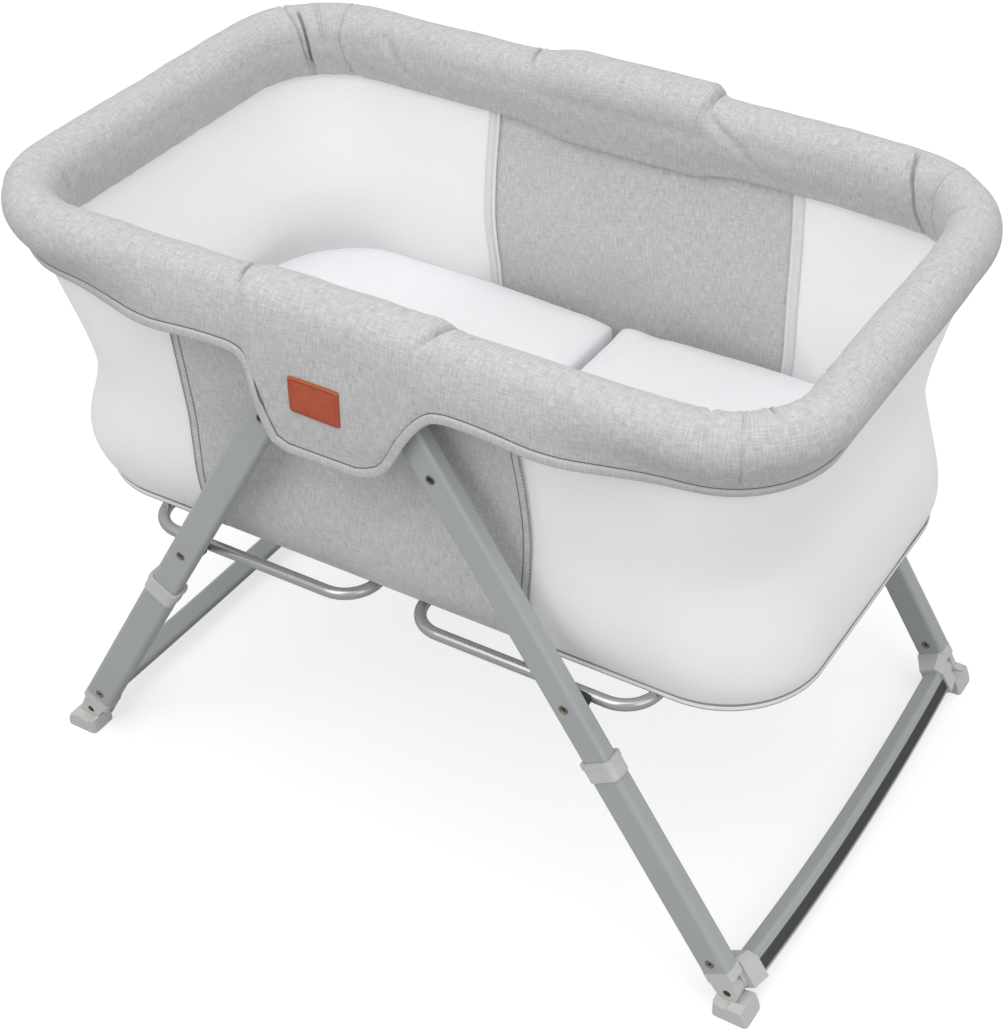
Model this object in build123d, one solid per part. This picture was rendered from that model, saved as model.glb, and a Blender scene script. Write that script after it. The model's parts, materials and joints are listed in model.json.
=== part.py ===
"""A travel bassinet on a folding stand with rocker rails.

Millimetres. X runs along the bed, Y from front (minus) to back (plus), Z up.
The origin lies on the floor under the middle of the bed.
"""
from build123d import *
import math
import os

# Rim: a steel tube hinged in the middle of each long side, in a padded sleeve
rim_z = 651.6
rim_half_length = 427.0
rim_half_width = 248.5
rim_corner = 100.0
rim_tube_radius = 8.0
rim_tube_wall = 1.2
rim_hinge_x = 112.0
rim_tube_start = 13.0
rim_pad_radius = 27.0
rim_pad_start = 18.0
rim_tail_start = 60.0
rim_tail_drop = 52.0
rim_tail_outer = 8.0
rim_tail_inner = 4.0
tongue_thickness = 6.0

# Clearances
running_gap = 0.05
fabric_gap = 0.6
piece_gap = 0.3

# Hubs that carry the legs and the rim halves; offsets are from the rim's middle line
hub_plate_offset = 1.5
hub_plate_thickness = 7.5
hub_rail_inset = 16.0
hub_rail_height = 15.0
hub_ear_radius = 9.0
hub_ear_inset = 8.5
hub_shoulder_inset = 20.0
hub_lobe_reach = 18.0
hub_lobe_drop = 6.0
hub_foot_inset = 10.0
hub_foot_drop = 20.0
hub_corner = 8.0
cover_gap = 0.5
cover_thickness = 2.5
cover_top_rise = 28.0
cover_shoulder_reach = 10.0
post_x = 22.0
post_rise = 12.0
post_radius = 5.0
cover_screw_radius = 2.0
cover_screw_head_radius = 4.0
cover_screw_head = 2.0
button_radius = 7.0
button_flange_radius = 9.0
button_flange = 3.5
button_stand = 3.0
button_tail = 4.0
spring_radius = 6.0
spring_wall = 1.5

# Legs: flat-oval steel tubes that splay from a hub under each long rail
leg_pivot_x = 60.0
leg_pivot_drop = 57.6
leg_splay = 31.4
leg_hub_gap = 2.0
upper_leg_width = 31.0
upper_leg_depth = 18.0
upper_leg_wall = 1.5
lower_leg_wall = 1.4
leg_corner = 4.0
telescope_gap = 0.3
leg_top_reach = 17.0
lower_leg_start = 381.0
height_travel = 60.0
telescope_overlap = 29.0

# Collars where the upper tube enters the lower one
collar_lip = 1.5
collar_length = 21.0
collar_lip_height = 5.0
collar_wall = 1.5
collar_lip_wall = 2.2

# Pins, rivets and bolts; a place is a distance along the leg below its pivot
leg_pin_radius = 4.0
rim_pin_radius = 3.0
rivet_radius = 3.4
rivet_recess = 1.0
rivet_place = 63.6
loop_bolt_radius = 3.0
loop_bolt_place = 317.0
foot_rivet_radius = 2.5
foot_screw_radius = 3.0
foot_screw_head_radius = 4.2
foot_screw_head = 1.6
foot_screw_recess = 2.6

# Foot sockets, flip feet and rocker rails; lifts are along the leg above the foot's pivot
foot_pivot_z = 25.3
leg_end_lift = 26.3
foot_rivet_lift = 38.6
socket_plug = 30.0
socket_plug_gap = 0.1
socket_round = 12.0
rail_width = 22.0
rail_height = 28.0
rail_wall = 1.6
rail_offset = 6.0
rail_drop = 3.7
rail_bow = 10.0
rail_end_inset = 16.5
rail_socket_inset = 32.5
rail_socket_wall = 3.0
rail_socket_chamfer = 8.0
socket_chamfer = 5.0
strip_width = 13.5
strip_depth = 2.0
strip_drop = 2.75
strip_end_gap = 1.0
pad_inner = 11.0
pad_outer = 29.0
pad_height = 19.0
pad_front_height = 18.5
pad_slope = 8.0
pad_toe = 11.8
pad_corner = 5.0
pad_dip = 9.0
pad_relief_start = 7.0
pad_relief_start_drop = 10.2
pad_relief_end = 22.0
pad_relief_end_drop = 7.5
ear_stand = 2.0
ear_thickness = 7.0
ear_radius = 11.5
ear_half_width = 9.0
neck_lift = 14.3

# Folding floor: two boards on steel loops, hinged to a middle strip
loop_radius = 6.25
loop_inner_x = 29.0
loop_outer_x = 290.0
loop_bend = 36.0
loop_wall = 1.0
loop_clearance = 0.3
spacer_thickness = 5.25
spacer_length = 30.0
spacer_height = 16.0
floor_end_inset = 16.0
floor_side_inset = 28.5
floor_corner = 100.0
board_thickness = 4.5
board_seat = 0.2
floor_hinge_x = 12.0
floor_hinge_drop = 6.5
hinge_pin_radius = 2.0
knuckle_radius = 4.5
strip_half_width = 6.0
board_inner_x = 18.0
knuckle_end_inset = 22.0
knuckle_end_length = 60.0
knuckle_middle_half = 30.0
knuckle_gap = 5.0
saddle_y = 110.0
saddle_half_length = 12.0
saddle_half_width = 10.0
saddle_drop = 8.0
saddle_gap = 0.1
mattress_inner_x = 2.0
mattress_end_inset = 6.0
mattress_side_inset = 6.5
mattress_corner = 94.0
mattress_height = 64.0
mattress_edge = 20.0

# Soft walls: insets are from the rim's middle line, rises from the floor board
sleeve_channel_half = 10.0
sleeve_channel_top = 10.4
wall_thickness = 3.0
wall_neck_drop = 26.0
waist_rise = 135.6
waist_end_inset = 29.0
waist_side_inset = 17.5
waist_corner = 105.0
bulge_rise = 70.6
bulge_end_inset = 13.0
bulge_side_inset = 13.5
bulge_corner = 115.0
panel_half_length = 189.0

# Flaps over the leg tops and the leather patch; rises are from the flap's lower edge
flap_centre_x = -12.0
flap_clearance = 1.5
flap_thickness = 2.5
flap_drop = 127.6
flap_bend_drop = 11.6
flap_heel_rise = 6.5
flap_knee_rise = 28.0
flap_waist_rise = 53.0
flap_shoulder_rise = 87.0
flap_bottom_half = 38.0
flap_heel_half = 53.0
flap_knee_half = 68.0
flap_waist_half = 79.0
flap_shoulder_half = 113.0
patch_width = 53.5
patch_height = 35.0
patch_thickness = 1.5
patch_shift = -6.5
patch_rise = 67.5
patch_corner = 2.2

# Places that follow from the sizes above
sin_splay = math.sin(math.radians(leg_splay))
cos_splay = math.cos(math.radians(leg_splay))
leg_pivot_z = rim_z - leg_pivot_drop
foot_pivot_place = (leg_pivot_z - foot_pivot_z) / cos_splay
foot_pivot_x = leg_pivot_x + foot_pivot_place * sin_splay
foot_rivet_place = foot_pivot_place - foot_rivet_lift
lower_leg_end = foot_pivot_place - leg_end_lift
rail_middle_place = foot_pivot_place + rail_drop
upper_leg_length = lower_leg_start + height_travel + telescope_overlap
lower_leg_width = upper_leg_width + 2 * (telescope_gap + lower_leg_wall)
lower_leg_depth = upper_leg_depth + 2 * (telescope_gap + lower_leg_wall)
hub_plate_inner_y = rim_half_width + hub_plate_offset
hub_plate_outer_y = hub_plate_inner_y + hub_plate_thickness
hub_ear_inner_y = rim_half_width - hub_ear_inset
hub_rail_half_length = rim_hinge_x - hub_rail_inset
hub_shoulder_x = rim_hinge_x - hub_shoulder_inset
hub_lobe_x = leg_pivot_x + hub_lobe_reach
hub_lobe_z = leg_pivot_z - hub_lobe_drop
hub_foot_x = leg_pivot_x - hub_foot_inset
hub_foot_z = leg_pivot_z - hub_foot_drop
upper_leg_back = hub_plate_outer_y + leg_hub_gap
upper_leg_front = upper_leg_back + upper_leg_depth
leg_plane_y = upper_leg_back + upper_leg_depth / 2
lower_leg_front = leg_plane_y + lower_leg_depth / 2
lower_leg_back = leg_plane_y - lower_leg_depth / 2
cover_back_y = upper_leg_front + cover_gap
cover_front_y = cover_back_y + cover_thickness
cover_top_z = leg_pivot_z + cover_top_rise
cover_shoulder_x = leg_pivot_x + cover_shoulder_reach
post_z = leg_pivot_z + post_rise
button_z = leg_pivot_z
ear_front_y = leg_plane_y + ear_stand
ear_back_y = ear_front_y - ear_thickness
pad_front_y = lower_leg_front + pad_toe
pad_back_y = lower_leg_back + piece_gap
rail_half_length = leg_plane_y - rail_end_inset
rail_socket_end = leg_plane_y - rail_socket_inset
loop_bolt_x = leg_pivot_x + loop_bolt_place * sin_splay
loop_z = leg_pivot_z - loop_bolt_place * cos_splay
loop_half_width = upper_leg_back - spacer_thickness - loop_clearance - loop_radius
floor_half_length = rim_half_length - floor_end_inset
floor_half_width = rim_half_width - floor_side_inset
board_bottom_z = loop_z + loop_radius + board_seat
board_top_z = board_bottom_z + board_thickness
floor_hinge_z = board_top_z - floor_hinge_drop
knuckle_half_span = floor_half_width - knuckle_end_inset
mattress_half_length = floor_half_length - mattress_end_inset
mattress_half_width = floor_half_width - mattress_side_inset
wall_top_z = rim_z - rim_pad_radius - fabric_gap / 2
flap_y = cover_front_y + button_stand + flap_clearance
flap_bottom_z = rim_z - flap_drop
flap_bend_z = rim_z - flap_bend_drop
leg_frame = Pos(leg_pivot_x, 0, leg_pivot_z) * Rot(0, -leg_splay, 0)


def block(x0, x1, y0, y1, z0, z1):
    """A box between two corners."""
    return Pos((x0 + x1) / 2, (y0 + y1) / 2, (z0 + z1) / 2) * Box(x1 - x0, y1 - y0, z1 - z0)


def rod_y(x, z, radius, y0, y1):
    """A round bar along Y."""
    return Pos(x, (y0 + y1) / 2, z) * Rot(90, 0, 0) * Cylinder(radius, abs(y1 - y0))


def plate_y(outline, y0, y1):
    """A flat plate across Y, from an outline of x, z points or a sketch."""
    face = outline if isinstance(outline, Sketch) else make_face(Polyline(*outline, close=True))
    return Pos(0, y1, 0) * extrude(Plane.XZ * face, y1 - y0)


def leg_bar(width, depth, corner, start, end):
    """A solid bar along the front leg, between two distances below its pivot."""
    section = RectangleRounded(width, depth, corner)
    return Pos(0, -leg_plane_y, -end) * extrude(section, end - start)


def across(piece):
    """The same piece on the back side."""
    return mirror(piece, about=Plane.XZ)


def other_hand(piece):
    """The same piece at the left end."""
    return mirror(piece, about=Plane.YZ)


def upper_leg():
    """Upper leg tube with its pivot, rivet and bolt holes."""
    inner = 2 * upper_leg_wall
    tube = leg_bar(upper_leg_width, upper_leg_depth, leg_corner, -leg_top_reach, upper_leg_length)
    tube -= leg_bar(upper_leg_width - inner, upper_leg_depth - inner, leg_corner - upper_leg_wall,
                    -leg_top_reach, upper_leg_length)
    holes = [(0, leg_pin_radius), (rivet_place, rivet_radius), (loop_bolt_place, loop_bolt_radius)]
    for place, radius in holes:
        tube -= rod_y(0, -place, radius + running_gap, -lower_leg_front, -lower_leg_back)
    return leg_frame * tube


def lower_leg():
    """Lower leg tube, which slides on the upper one."""
    inner = 2 * lower_leg_wall
    tube = leg_bar(lower_leg_width, lower_leg_depth, leg_corner + lower_leg_wall,
                   lower_leg_start, lower_leg_end)
    tube -= leg_bar(lower_leg_width - inner, lower_leg_depth - inner, leg_corner,
                    lower_leg_start, lower_leg_end)
    tube -= rod_y(0, -foot_rivet_place, foot_rivet_radius, -lower_leg_front, -lower_leg_back)
    return leg_frame * tube


def leg_collar():
    """Moulded collar on the mouth of the lower leg."""
    top = lower_leg_start - collar_lip
    outer_corner = leg_corner + lower_leg_wall + collar_wall
    body = leg_bar(lower_leg_width + 2 * collar_wall, lower_leg_depth + 2 * collar_wall, outer_corner,
                   top, top + collar_length)
    body += leg_bar(lower_leg_width + 2 * collar_lip_wall, lower_leg_depth + 2 * collar_lip_wall,
                    outer_corner, top, top + collar_lip_height)
    body -= leg_bar(lower_leg_width, lower_leg_depth, leg_corner + lower_leg_wall,
                    lower_leg_start, top + collar_length)
    body -= leg_bar(upper_leg_width + 2 * telescope_gap, upper_leg_depth + 2 * telescope_gap, leg_corner,
                    top, lower_leg_start)
    return leg_frame * body


def leg_bolts():
    """Recessed top rivet and loop bolt of one leg."""
    front = -(upper_leg_front - rivet_recess)
    rivet = rod_y(0, -rivet_place, rivet_radius, front, -(upper_leg_back + rivet_recess))
    loop_side = -(loop_half_width + loop_radius + loop_clearance)
    bolt = rod_y(0, -loop_bolt_place, loop_bolt_radius, front, loop_side)
    return [leg_frame * rivet, leg_frame * bolt]


def loop_spacer():
    """Plastic block between a leg and the floor loop."""
    near = -upper_leg_back
    far = -(loop_half_width + loop_radius + loop_clearance)
    outline = Pos(loop_bolt_x, loop_z) * RectangleRounded(spacer_length, spacer_height, spacer_height / 3)
    return plate_y(outline, near, far) - rod_y(loop_bolt_x, loop_z, loop_bolt_radius, near, far)


def rail_arc(section, half_length):
    """A section of the rocker rail carried along its bow, in the leg's frame."""
    radius = (rail_half_length ** 2 + rail_bow ** 2) / (2 * rail_bow)
    centre_z = -(rail_middle_place + rail_bow / 2) + radius
    half_angle = math.degrees(math.asin(half_length / radius))
    swept = revolve(Plane.XZ * section, Axis((0, 0, centre_z), (1, 0, 0)), 2 * half_angle)
    return Pos(0, 0, centre_z) * Rot(-half_angle, 0, 0) * Pos(0, 0, -centre_z) * swept


def rail_section(grow):
    """Outer section of the rocker rail, grown by a clearance on each side."""
    place = Pos(rail_offset, -(rail_middle_place + rail_bow / 2))
    return place * RectangleRounded(rail_width + 2 * grow, rail_height + 2 * grow, leg_corner)


def strip_section():
    """Section of the rubber strip in the rail's outer face."""
    x = rail_offset + rail_width / 2 - strip_depth / 2
    z = -(rail_middle_place + rail_bow / 2 + strip_drop)
    return Pos(x, z) * Rectangle(strip_depth, strip_width)


def rocker_rail():
    """Bowed hollow rail between the front and back feet."""
    hollow = Pos(rail_offset - strip_depth / 2, -(rail_middle_place + rail_bow / 2)) * Rectangle(
        rail_width - strip_depth - 2 * rail_wall, rail_height - 2 * rail_wall)
    return leg_frame * rail_arc(rail_section(0) - hollow - strip_section(), rail_half_length)


def rail_strip():
    """Rubber strip inlaid in the rocker rail."""
    return leg_frame * rail_arc(strip_section(), rail_socket_end - strip_end_gap)


def foot_socket():
    """Moulding that joins a lower leg to the rocker rail."""
    plug_gap = 2 * (lower_leg_wall + socket_plug_gap)
    plug = leg_bar(lower_leg_width - plug_gap, lower_leg_depth - plug_gap, leg_corner - socket_plug_gap,
                   lower_leg_end - socket_plug, lower_leg_end)
    neck_end = foot_pivot_place - neck_lift
    body = plug + leg_bar(lower_leg_width, lower_leg_depth, leg_corner, lower_leg_end, neck_end)
    cheeks = [(lower_leg_front, ear_front_y + piece_gap), (ear_back_y - piece_gap, lower_leg_back)]
    for front, back in cheeks:
        half = lower_leg_width / 2 - leg_corner
        body += plate_y([(-half, -neck_end), (half, -neck_end), (socket_round, -foot_pivot_place),
                         (-socket_round, -foot_pivot_place)], -front, -back)
        body += rod_y(0, -foot_pivot_place, socket_round, -front, -back)
    body += rail_branch() - rail_arc(rail_section(0), rail_half_length)
    body -= rod_y(0, -foot_pivot_place, foot_screw_radius, -lower_leg_front, -lower_leg_back)
    body -= rod_y(0, -foot_pivot_place, foot_screw_head_radius + piece_gap, -lower_leg_front,
                  foot_screw_recess - lower_leg_front)
    body -= rod_y(0, -foot_rivet_place, foot_rivet_radius, -lower_leg_front, -lower_leg_back)
    return leg_frame * body


def rail_branch():
    """Tapered branch of a foot socket, from the back of the leg's end to the rail's mouth."""
    half = lower_leg_width / 2
    low, high = -(foot_pivot_place + socket_round), -lower_leg_end
    root = [(-half, low), (half, low), (half, high - socket_chamfer), (half - socket_chamfer, high),
            (-half, high)]
    rail_z = -(rail_middle_place - rail_bow / 2)
    left, right = (rail_offset + side * (rail_width / 2 + rail_socket_wall) for side in (-1, 1))
    low, high = (rail_z + side * (rail_height / 2 + rail_socket_wall) for side in (-1, 1))
    mouth = [(left, low), (right, low), (right, high - rail_socket_chamfer),
             (right - rail_socket_chamfer, high), (left, high)]
    ends = [(root, lower_leg_back), (mouth, rail_socket_end)]
    return loft([Plane.XZ.offset(y) * make_face(Polyline(*points, close=True)) for points, y in ends],
                ruled=True)


def foot_fasteners():
    """Foot rivet and flip-foot screw of one lower leg."""
    rivet = rod_y(0, -foot_rivet_place, foot_rivet_radius, -lower_leg_front, -lower_leg_back)
    head_back = foot_screw_recess - lower_leg_front
    screw = rod_y(0, -foot_pivot_place, foot_screw_radius, head_back, -lower_leg_back)
    screw += rod_y(0, -foot_pivot_place, foot_screw_head_radius, head_back - foot_screw_head, head_back)
    return [leg_frame * rivet, leg_frame * screw]


def flip_foot():
    """Foot block that turns up about its screw to free the rocker rail."""
    x, z = foot_pivot_x, foot_pivot_z
    footprint = Pos(x + (pad_outer - pad_inner) / 2, -(pad_front_y + pad_back_y) / 2) * RectangleRounded(
        pad_inner + pad_outer, pad_front_y - pad_back_y, pad_corner)
    pad = extrude(footprint, pad_height)
    pad -= plate_y([(x + pad_outer - pad_slope, pad_height), (x + pad_outer, 0),
                    (x + 2 * pad_outer, 0), (x + 2 * pad_outer, pad_height)], -pad_front_y, -pad_back_y)
    pad -= block(x - pad_inner, x + pad_outer, -pad_front_y, -(lower_leg_front + piece_gap),
                 pad_front_height, pad_height)
    pad -= rod_y(x, z, pad_dip, -pad_front_y, -(lower_leg_front + piece_gap))
    pad -= rod_y(x, z, socket_round + piece_gap, -(lower_leg_front + piece_gap), -pad_back_y)
    pad -= plate_y([(x + pad_relief_start, z - pad_relief_start_drop), (x + pad_relief_end, z - pad_relief_end_drop),
                    (x + 2 * pad_outer, z), (x + pad_relief_start, z)],
                   -(lower_leg_front + piece_gap), -pad_back_y)
    ear = rod_y(x, z, ear_radius, -ear_front_y, -ear_back_y)
    ear += block(x - ear_half_width, x + ear_half_width, -ear_front_y, -ear_back_y, pad_height / 2, z)
    return pad + ear - rod_y(x, z, foot_screw_radius + running_gap, -pad_front_y, -pad_back_y)


def rim_path(start):
    """Middle line of the right-hand rim half, from a distance outside its hinge."""
    x0 = rim_hinge_x + start
    return FilletPolyline((x0, -rim_half_width, rim_z), (rim_half_length, -rim_half_width, rim_z),
                          (rim_half_length, rim_half_width, rim_z), (x0, rim_half_width, rim_z),
                          radius=rim_corner)


def along_rim(section, start):
    """A section carried along the rim: its x points into the bed and its y up."""
    path = rim_path(start)
    return sweep(Plane(path @ 0, x_dir=(0, 1, 0), z_dir=path % 0) * section, path=path)


def rim_tube():
    """Bent steel tube of one rim half, with a flat tongue at each end."""
    tube = along_rim(Circle(rim_tube_radius) - Circle(rim_tube_radius - rim_tube_wall), rim_tube_start)
    near = -(rim_half_width + tongue_thickness / 2)
    far = near + tongue_thickness
    tongue = block(rim_hinge_x, rim_hinge_x + 2 * rim_tube_start, near, far,
                   rim_z - rim_tube_radius + rim_tube_wall, rim_z + rim_tube_radius - rim_tube_wall)
    tongue += rod_y(rim_hinge_x, rim_z, rim_tube_radius - rim_tube_wall, near, far)
    tongue -= rod_y(rim_hinge_x, rim_z, rim_pin_radius + running_gap, near, far)
    return tube + tongue + across(tongue)


def rim_pad():
    """Padded sleeve of one rim half, with the tail of fabric that hangs under it."""
    roll = along_rim(Circle(rim_pad_radius) - Circle(rim_tube_radius), rim_pad_start)
    tail_width = rim_tail_inner + rim_tail_outer
    tail_height = rim_tail_drop - rim_tube_radius
    tail = Pos(rim_tail_inner - tail_width / 2, -rim_tube_radius - tail_height / 2) * Rectangle(
        tail_width, tail_height)
    return roll + along_rim(tail - Circle((rim_tube_radius + rim_pad_radius) / 2), rim_tail_start)


def hub_outline():
    """Front view of a hub plate: a shoulder under the rim and a lobe at each leg pivot."""
    top_z = rim_z - hub_rail_height / 4
    points = [(-hub_shoulder_x, top_z), (hub_shoulder_x, top_z), (hub_lobe_x, hub_lobe_z),
              (hub_foot_x, hub_foot_z), (-hub_foot_x, hub_foot_z), (-hub_lobe_x, hub_lobe_z)]
    face = make_face(Polyline(*points, close=True))
    return fillet(face.vertices().sort_by(Axis.Y)[:4], hub_corner)


def hub_body():
    """Hub plate with the rail that joins the rim hinges and posts for its cover."""
    body = plate_y(hub_outline(), -hub_plate_outer_y, -hub_plate_inner_y)
    half_height = hub_rail_height / 2
    body += block(-hub_rail_half_length, hub_rail_half_length, -hub_plate_outer_y, -hub_ear_inner_y,
                  rim_z - half_height, rim_z + half_height)
    tongue_half = tongue_thickness / 2 + piece_gap
    for side in (-1, 1):
        x = side * rim_hinge_x
        ear = rod_y(x, rim_z, hub_ear_radius, -hub_plate_outer_y, -hub_ear_inner_y)
        inner, outer = sorted((side * hub_rail_half_length, x))
        ear += block(inner, outer, -hub_plate_outer_y, -hub_ear_inner_y,
                     rim_z - half_height, rim_z + half_height)
        slot_ends = (x - side * (hub_ear_radius + piece_gap), x + side * hub_ear_radius)
        ear -= block(min(slot_ends), max(slot_ends),
                     -rim_half_width - tongue_half, -rim_half_width + tongue_half,
                     rim_z - 2 * hub_ear_radius, rim_z + 2 * hub_ear_radius)
        body += ear - rod_y(x, rim_z, rim_pin_radius, -hub_plate_outer_y, -hub_ear_inner_y)
        body -= rod_y(side * leg_pivot_x, leg_pivot_z, leg_pin_radius,
                      -hub_plate_outer_y, -hub_plate_inner_y)
        post = rod_y(side * post_x, post_z, post_radius, -cover_back_y, -hub_plate_outer_y)
        body += post - rod_y(side * post_x, post_z, cover_screw_radius, -cover_back_y, -hub_plate_outer_y)
    return body


def hub_cover():
    """Cover plate in front of the leg pivots."""
    points = [(-cover_shoulder_x, cover_top_z), (cover_shoulder_x, cover_top_z), (hub_lobe_x, hub_lobe_z),
              (hub_foot_x, hub_foot_z), (-hub_foot_x, hub_foot_z), (-hub_lobe_x, hub_lobe_z)]
    face = make_face(Polyline(*points, close=True))
    cover = plate_y(fillet(face.vertices(), hub_corner), -cover_front_y, -cover_back_y)
    cover -= rod_y(0, button_z, button_radius + piece_gap, -cover_front_y, -cover_back_y)
    for side in (-1, 1):
        cover -= rod_y(side * leg_pivot_x, leg_pivot_z, leg_pin_radius, -cover_front_y, -cover_back_y)
        cover -= rod_y(side * post_x, post_z, cover_screw_radius, -cover_front_y, -cover_back_y)
    return cover


def hub_pins():
    """Leg pivot pins and rim hinge pins of one hub."""
    pins = []
    for side in (-1, 1):
        pins.append(rod_y(side * leg_pivot_x, leg_pivot_z, leg_pin_radius,
                          -cover_front_y, -hub_plate_inner_y))
        pins.append(rod_y(side * rim_hinge_x, rim_z, rim_pin_radius, -hub_plate_outer_y, -hub_ear_inner_y))
    return pins


def cover_screws():
    """Screws that hold one hub cover to its posts."""
    screws = []
    for side in (-1, 1):
        shank = rod_y(side * post_x, post_z, cover_screw_radius, -cover_front_y, -hub_plate_outer_y)
        head_front = -(cover_front_y + cover_screw_head)
        head = rod_y(side * post_x, post_z, cover_screw_head_radius, head_front, -cover_front_y)
        screws.append(shank + head)
    return screws


def release_button():
    """Push button that frees the fold, with a flange behind the cover."""
    flange_front = cover_back_y - piece_gap
    button = rod_y(0, button_z, button_radius, -(cover_front_y + button_stand),
                   -(flange_front - button_flange - button_tail))
    button += rod_y(0, button_z, button_flange_radius, -flange_front, -(flange_front - button_flange))
    return button - rod_y(0, button_z, spring_radius + piece_gap, -(flange_front - button_flange),
                          -(flange_front - button_flange - button_tail))


def release_spring():
    """Spring between the hub plate and the button's flange, as a sleeve of its outer size."""
    seat = -(cover_back_y - piece_gap - button_flange)
    sleeve = rod_y(0, button_z, spring_radius, seat, -hub_plate_outer_y)
    return sleeve - rod_y(0, button_z, spring_radius - spring_wall, seat, -hub_plate_outer_y)


def centre_sleeve():
    """Padded sleeve over the hub rail, open below for the hub plate."""
    half = rim_hinge_x + rim_pad_start - piece_gap
    roll = Pos(0, -rim_half_width, rim_z) * Rot(0, 90, 0) * Cylinder(rim_pad_radius, 2 * half)
    channel = block(-half, half,
                    -rim_half_width - sleeve_channel_half, -rim_half_width + sleeve_channel_half,
                    rim_z - rim_pad_radius, rim_z + sleeve_channel_top)
    return roll - channel


def flap():
    """Fabric flap that hangs from the sleeve over the tops of the legs."""
    top_y = rim_half_width + rim_pad_radius + piece_gap
    front_y = flap_y + flap_thickness
    profile = [(-top_y, rim_z + flap_thickness), (-front_y, flap_bend_z), (-front_y, flap_bottom_z),
               (-flap_y, flap_bottom_z), (-flap_y, flap_bend_z - flap_thickness / 2),
               (-top_y, rim_z - flap_thickness)]
    reach = flap_shoulder_half
    sheet = extrude(Plane.YZ * make_face(Polyline(*profile, close=True)), reach, both=True)
    edge = [(flap_bottom_half, flap_bottom_z), (flap_heel_half, flap_bottom_z + flap_heel_rise),
            (flap_knee_half, flap_bottom_z + flap_knee_rise),
            (flap_waist_half, flap_bottom_z + flap_waist_rise),
            (flap_shoulder_half, flap_bottom_z + flap_shoulder_rise),
            (flap_shoulder_half, rim_z + rim_pad_radius)]
    outline = edge + [(-x, z) for x, z in reversed(edge)]
    sheet &= plate_y(outline, -front_y, -top_y)
    return Pos(flap_centre_x, 0, 0) * sheet


def patch():
    """Plain leather patch sewn on the front flap."""
    place = Pos(flap_centre_x + patch_shift, flap_bottom_z + patch_rise)
    outline = place * RectangleRounded(patch_width, patch_height, patch_corner)
    back = -(flap_y + flap_thickness)
    return plate_y(outline, back - patch_thickness, back)


def wall_section(half_length, half_width, corner, z, inset):
    """Rounded outline of the soft wall at one height."""
    return Pos(0, 0, z) * RectangleRounded(
        2 * (half_length - inset), 2 * (half_width - inset), corner - inset)


def soft_wall():
    """The whole soft wall from the rim to the floor, with its waist above the mattress."""
    seat = rim_tail_inner + fabric_gap
    neck = (rim_half_length - seat, rim_half_width - seat, rim_corner - seat)
    sections = [(*neck, wall_top_z), (*neck, wall_top_z - wall_neck_drop),
                (rim_half_length - waist_end_inset, rim_half_width - waist_side_inset, waist_corner,
                 board_top_z + waist_rise),
                (rim_half_length - bulge_end_inset, rim_half_width - bulge_side_inset, bulge_corner,
                 board_top_z + bulge_rise),
                (floor_half_length - fabric_gap, floor_half_width - fabric_gap, floor_corner,
                 board_top_z + fabric_gap)]
    outer = loft([wall_section(*section, 0) for section in sections], ruled=True)
    inner = loft([wall_section(*section, wall_thickness) for section in sections], ruled=True)
    return outer - inner


def floor_loop():
    """Closed loop of round tube under one floor half."""
    half = loop_half_width
    middle_x = (loop_inner_x + loop_outer_x) / 2
    path = FilletPolyline((middle_x, -half, loop_z), (loop_outer_x, -half, loop_z),
                          (loop_outer_x, half, loop_z), (middle_x, half, loop_z), radius=loop_bend)
    section = Circle(loop_radius) - Circle(loop_radius - loop_wall)
    bow = sweep(Plane(path @ 0, z_dir=path % 0) * section, path=path)
    return bow + mirror(bow, about=Plane.YZ.offset(middle_x))


def floor_outline(half_length, half_width, corner, inner_x):
    """Outline of one floor half, from its inner edge to its rounded end."""
    whole = RectangleRounded(2 * half_length, 2 * half_width, corner)
    return whole & Pos(inner_x + half_length / 2, 0) * Rectangle(half_length, 2 * half_width)


def knuckle_spans(on_strip):
    """Stretches of the floor hinge, on the middle strip or on the boards."""
    end = knuckle_half_span - knuckle_end_length
    if on_strip:
        return [(-knuckle_half_span, -end), (-knuckle_middle_half, knuckle_middle_half),
                (end, knuckle_half_span)]
    near = knuckle_middle_half + knuckle_gap
    return [(-end + knuckle_gap, -near), (near, end - knuckle_gap)]


def floor_board():
    """One floor board with its hinge knuckles and the saddles that hold its loop."""
    outline = floor_outline(floor_half_length, floor_half_width, floor_corner, board_inner_x)
    board = Pos(0, 0, board_bottom_z) * extrude(outline, board_thickness)
    for near, far in knuckle_spans(on_strip=False):
        board += block(floor_hinge_x, board_inner_x, near, far, floor_hinge_z, board_top_z)
        board += rod_y(floor_hinge_x, floor_hinge_z, knuckle_radius, near, far)
    board -= rod_y(floor_hinge_x, floor_hinge_z, hinge_pin_radius + running_gap, -floor_half_width,
                   floor_half_width)
    for x in (loop_inner_x, loop_outer_x):
        for y in (-saddle_y, saddle_y):
            saddle = block(x - saddle_half_width, x + saddle_half_width, y - saddle_half_length,
                           y + saddle_half_length, loop_z - saddle_drop, board_bottom_z)
            board += saddle - rod_y(x, loop_z, loop_radius + saddle_gap, y - saddle_half_length,
                                    y + saddle_half_length)
    return board


def floor_hinge_strip():
    """Middle strip of the floor with the knuckles of both hinges."""
    strip = block(-strip_half_width, strip_half_width, -knuckle_half_span, knuckle_half_span,
                  floor_hinge_z - knuckle_radius, floor_hinge_z + knuckle_radius)
    for near, far in knuckle_spans(on_strip=True):
        for side in (-1, 1):
            inner, outer = sorted((0, side * floor_hinge_x))
            strip += block(inner, outer, near, far,
                           floor_hinge_z - knuckle_radius, floor_hinge_z + knuckle_radius)
            strip += rod_y(side * floor_hinge_x, floor_hinge_z, knuckle_radius, near, far)
    for pin in floor_pins():
        strip -= pin
    return strip


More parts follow.
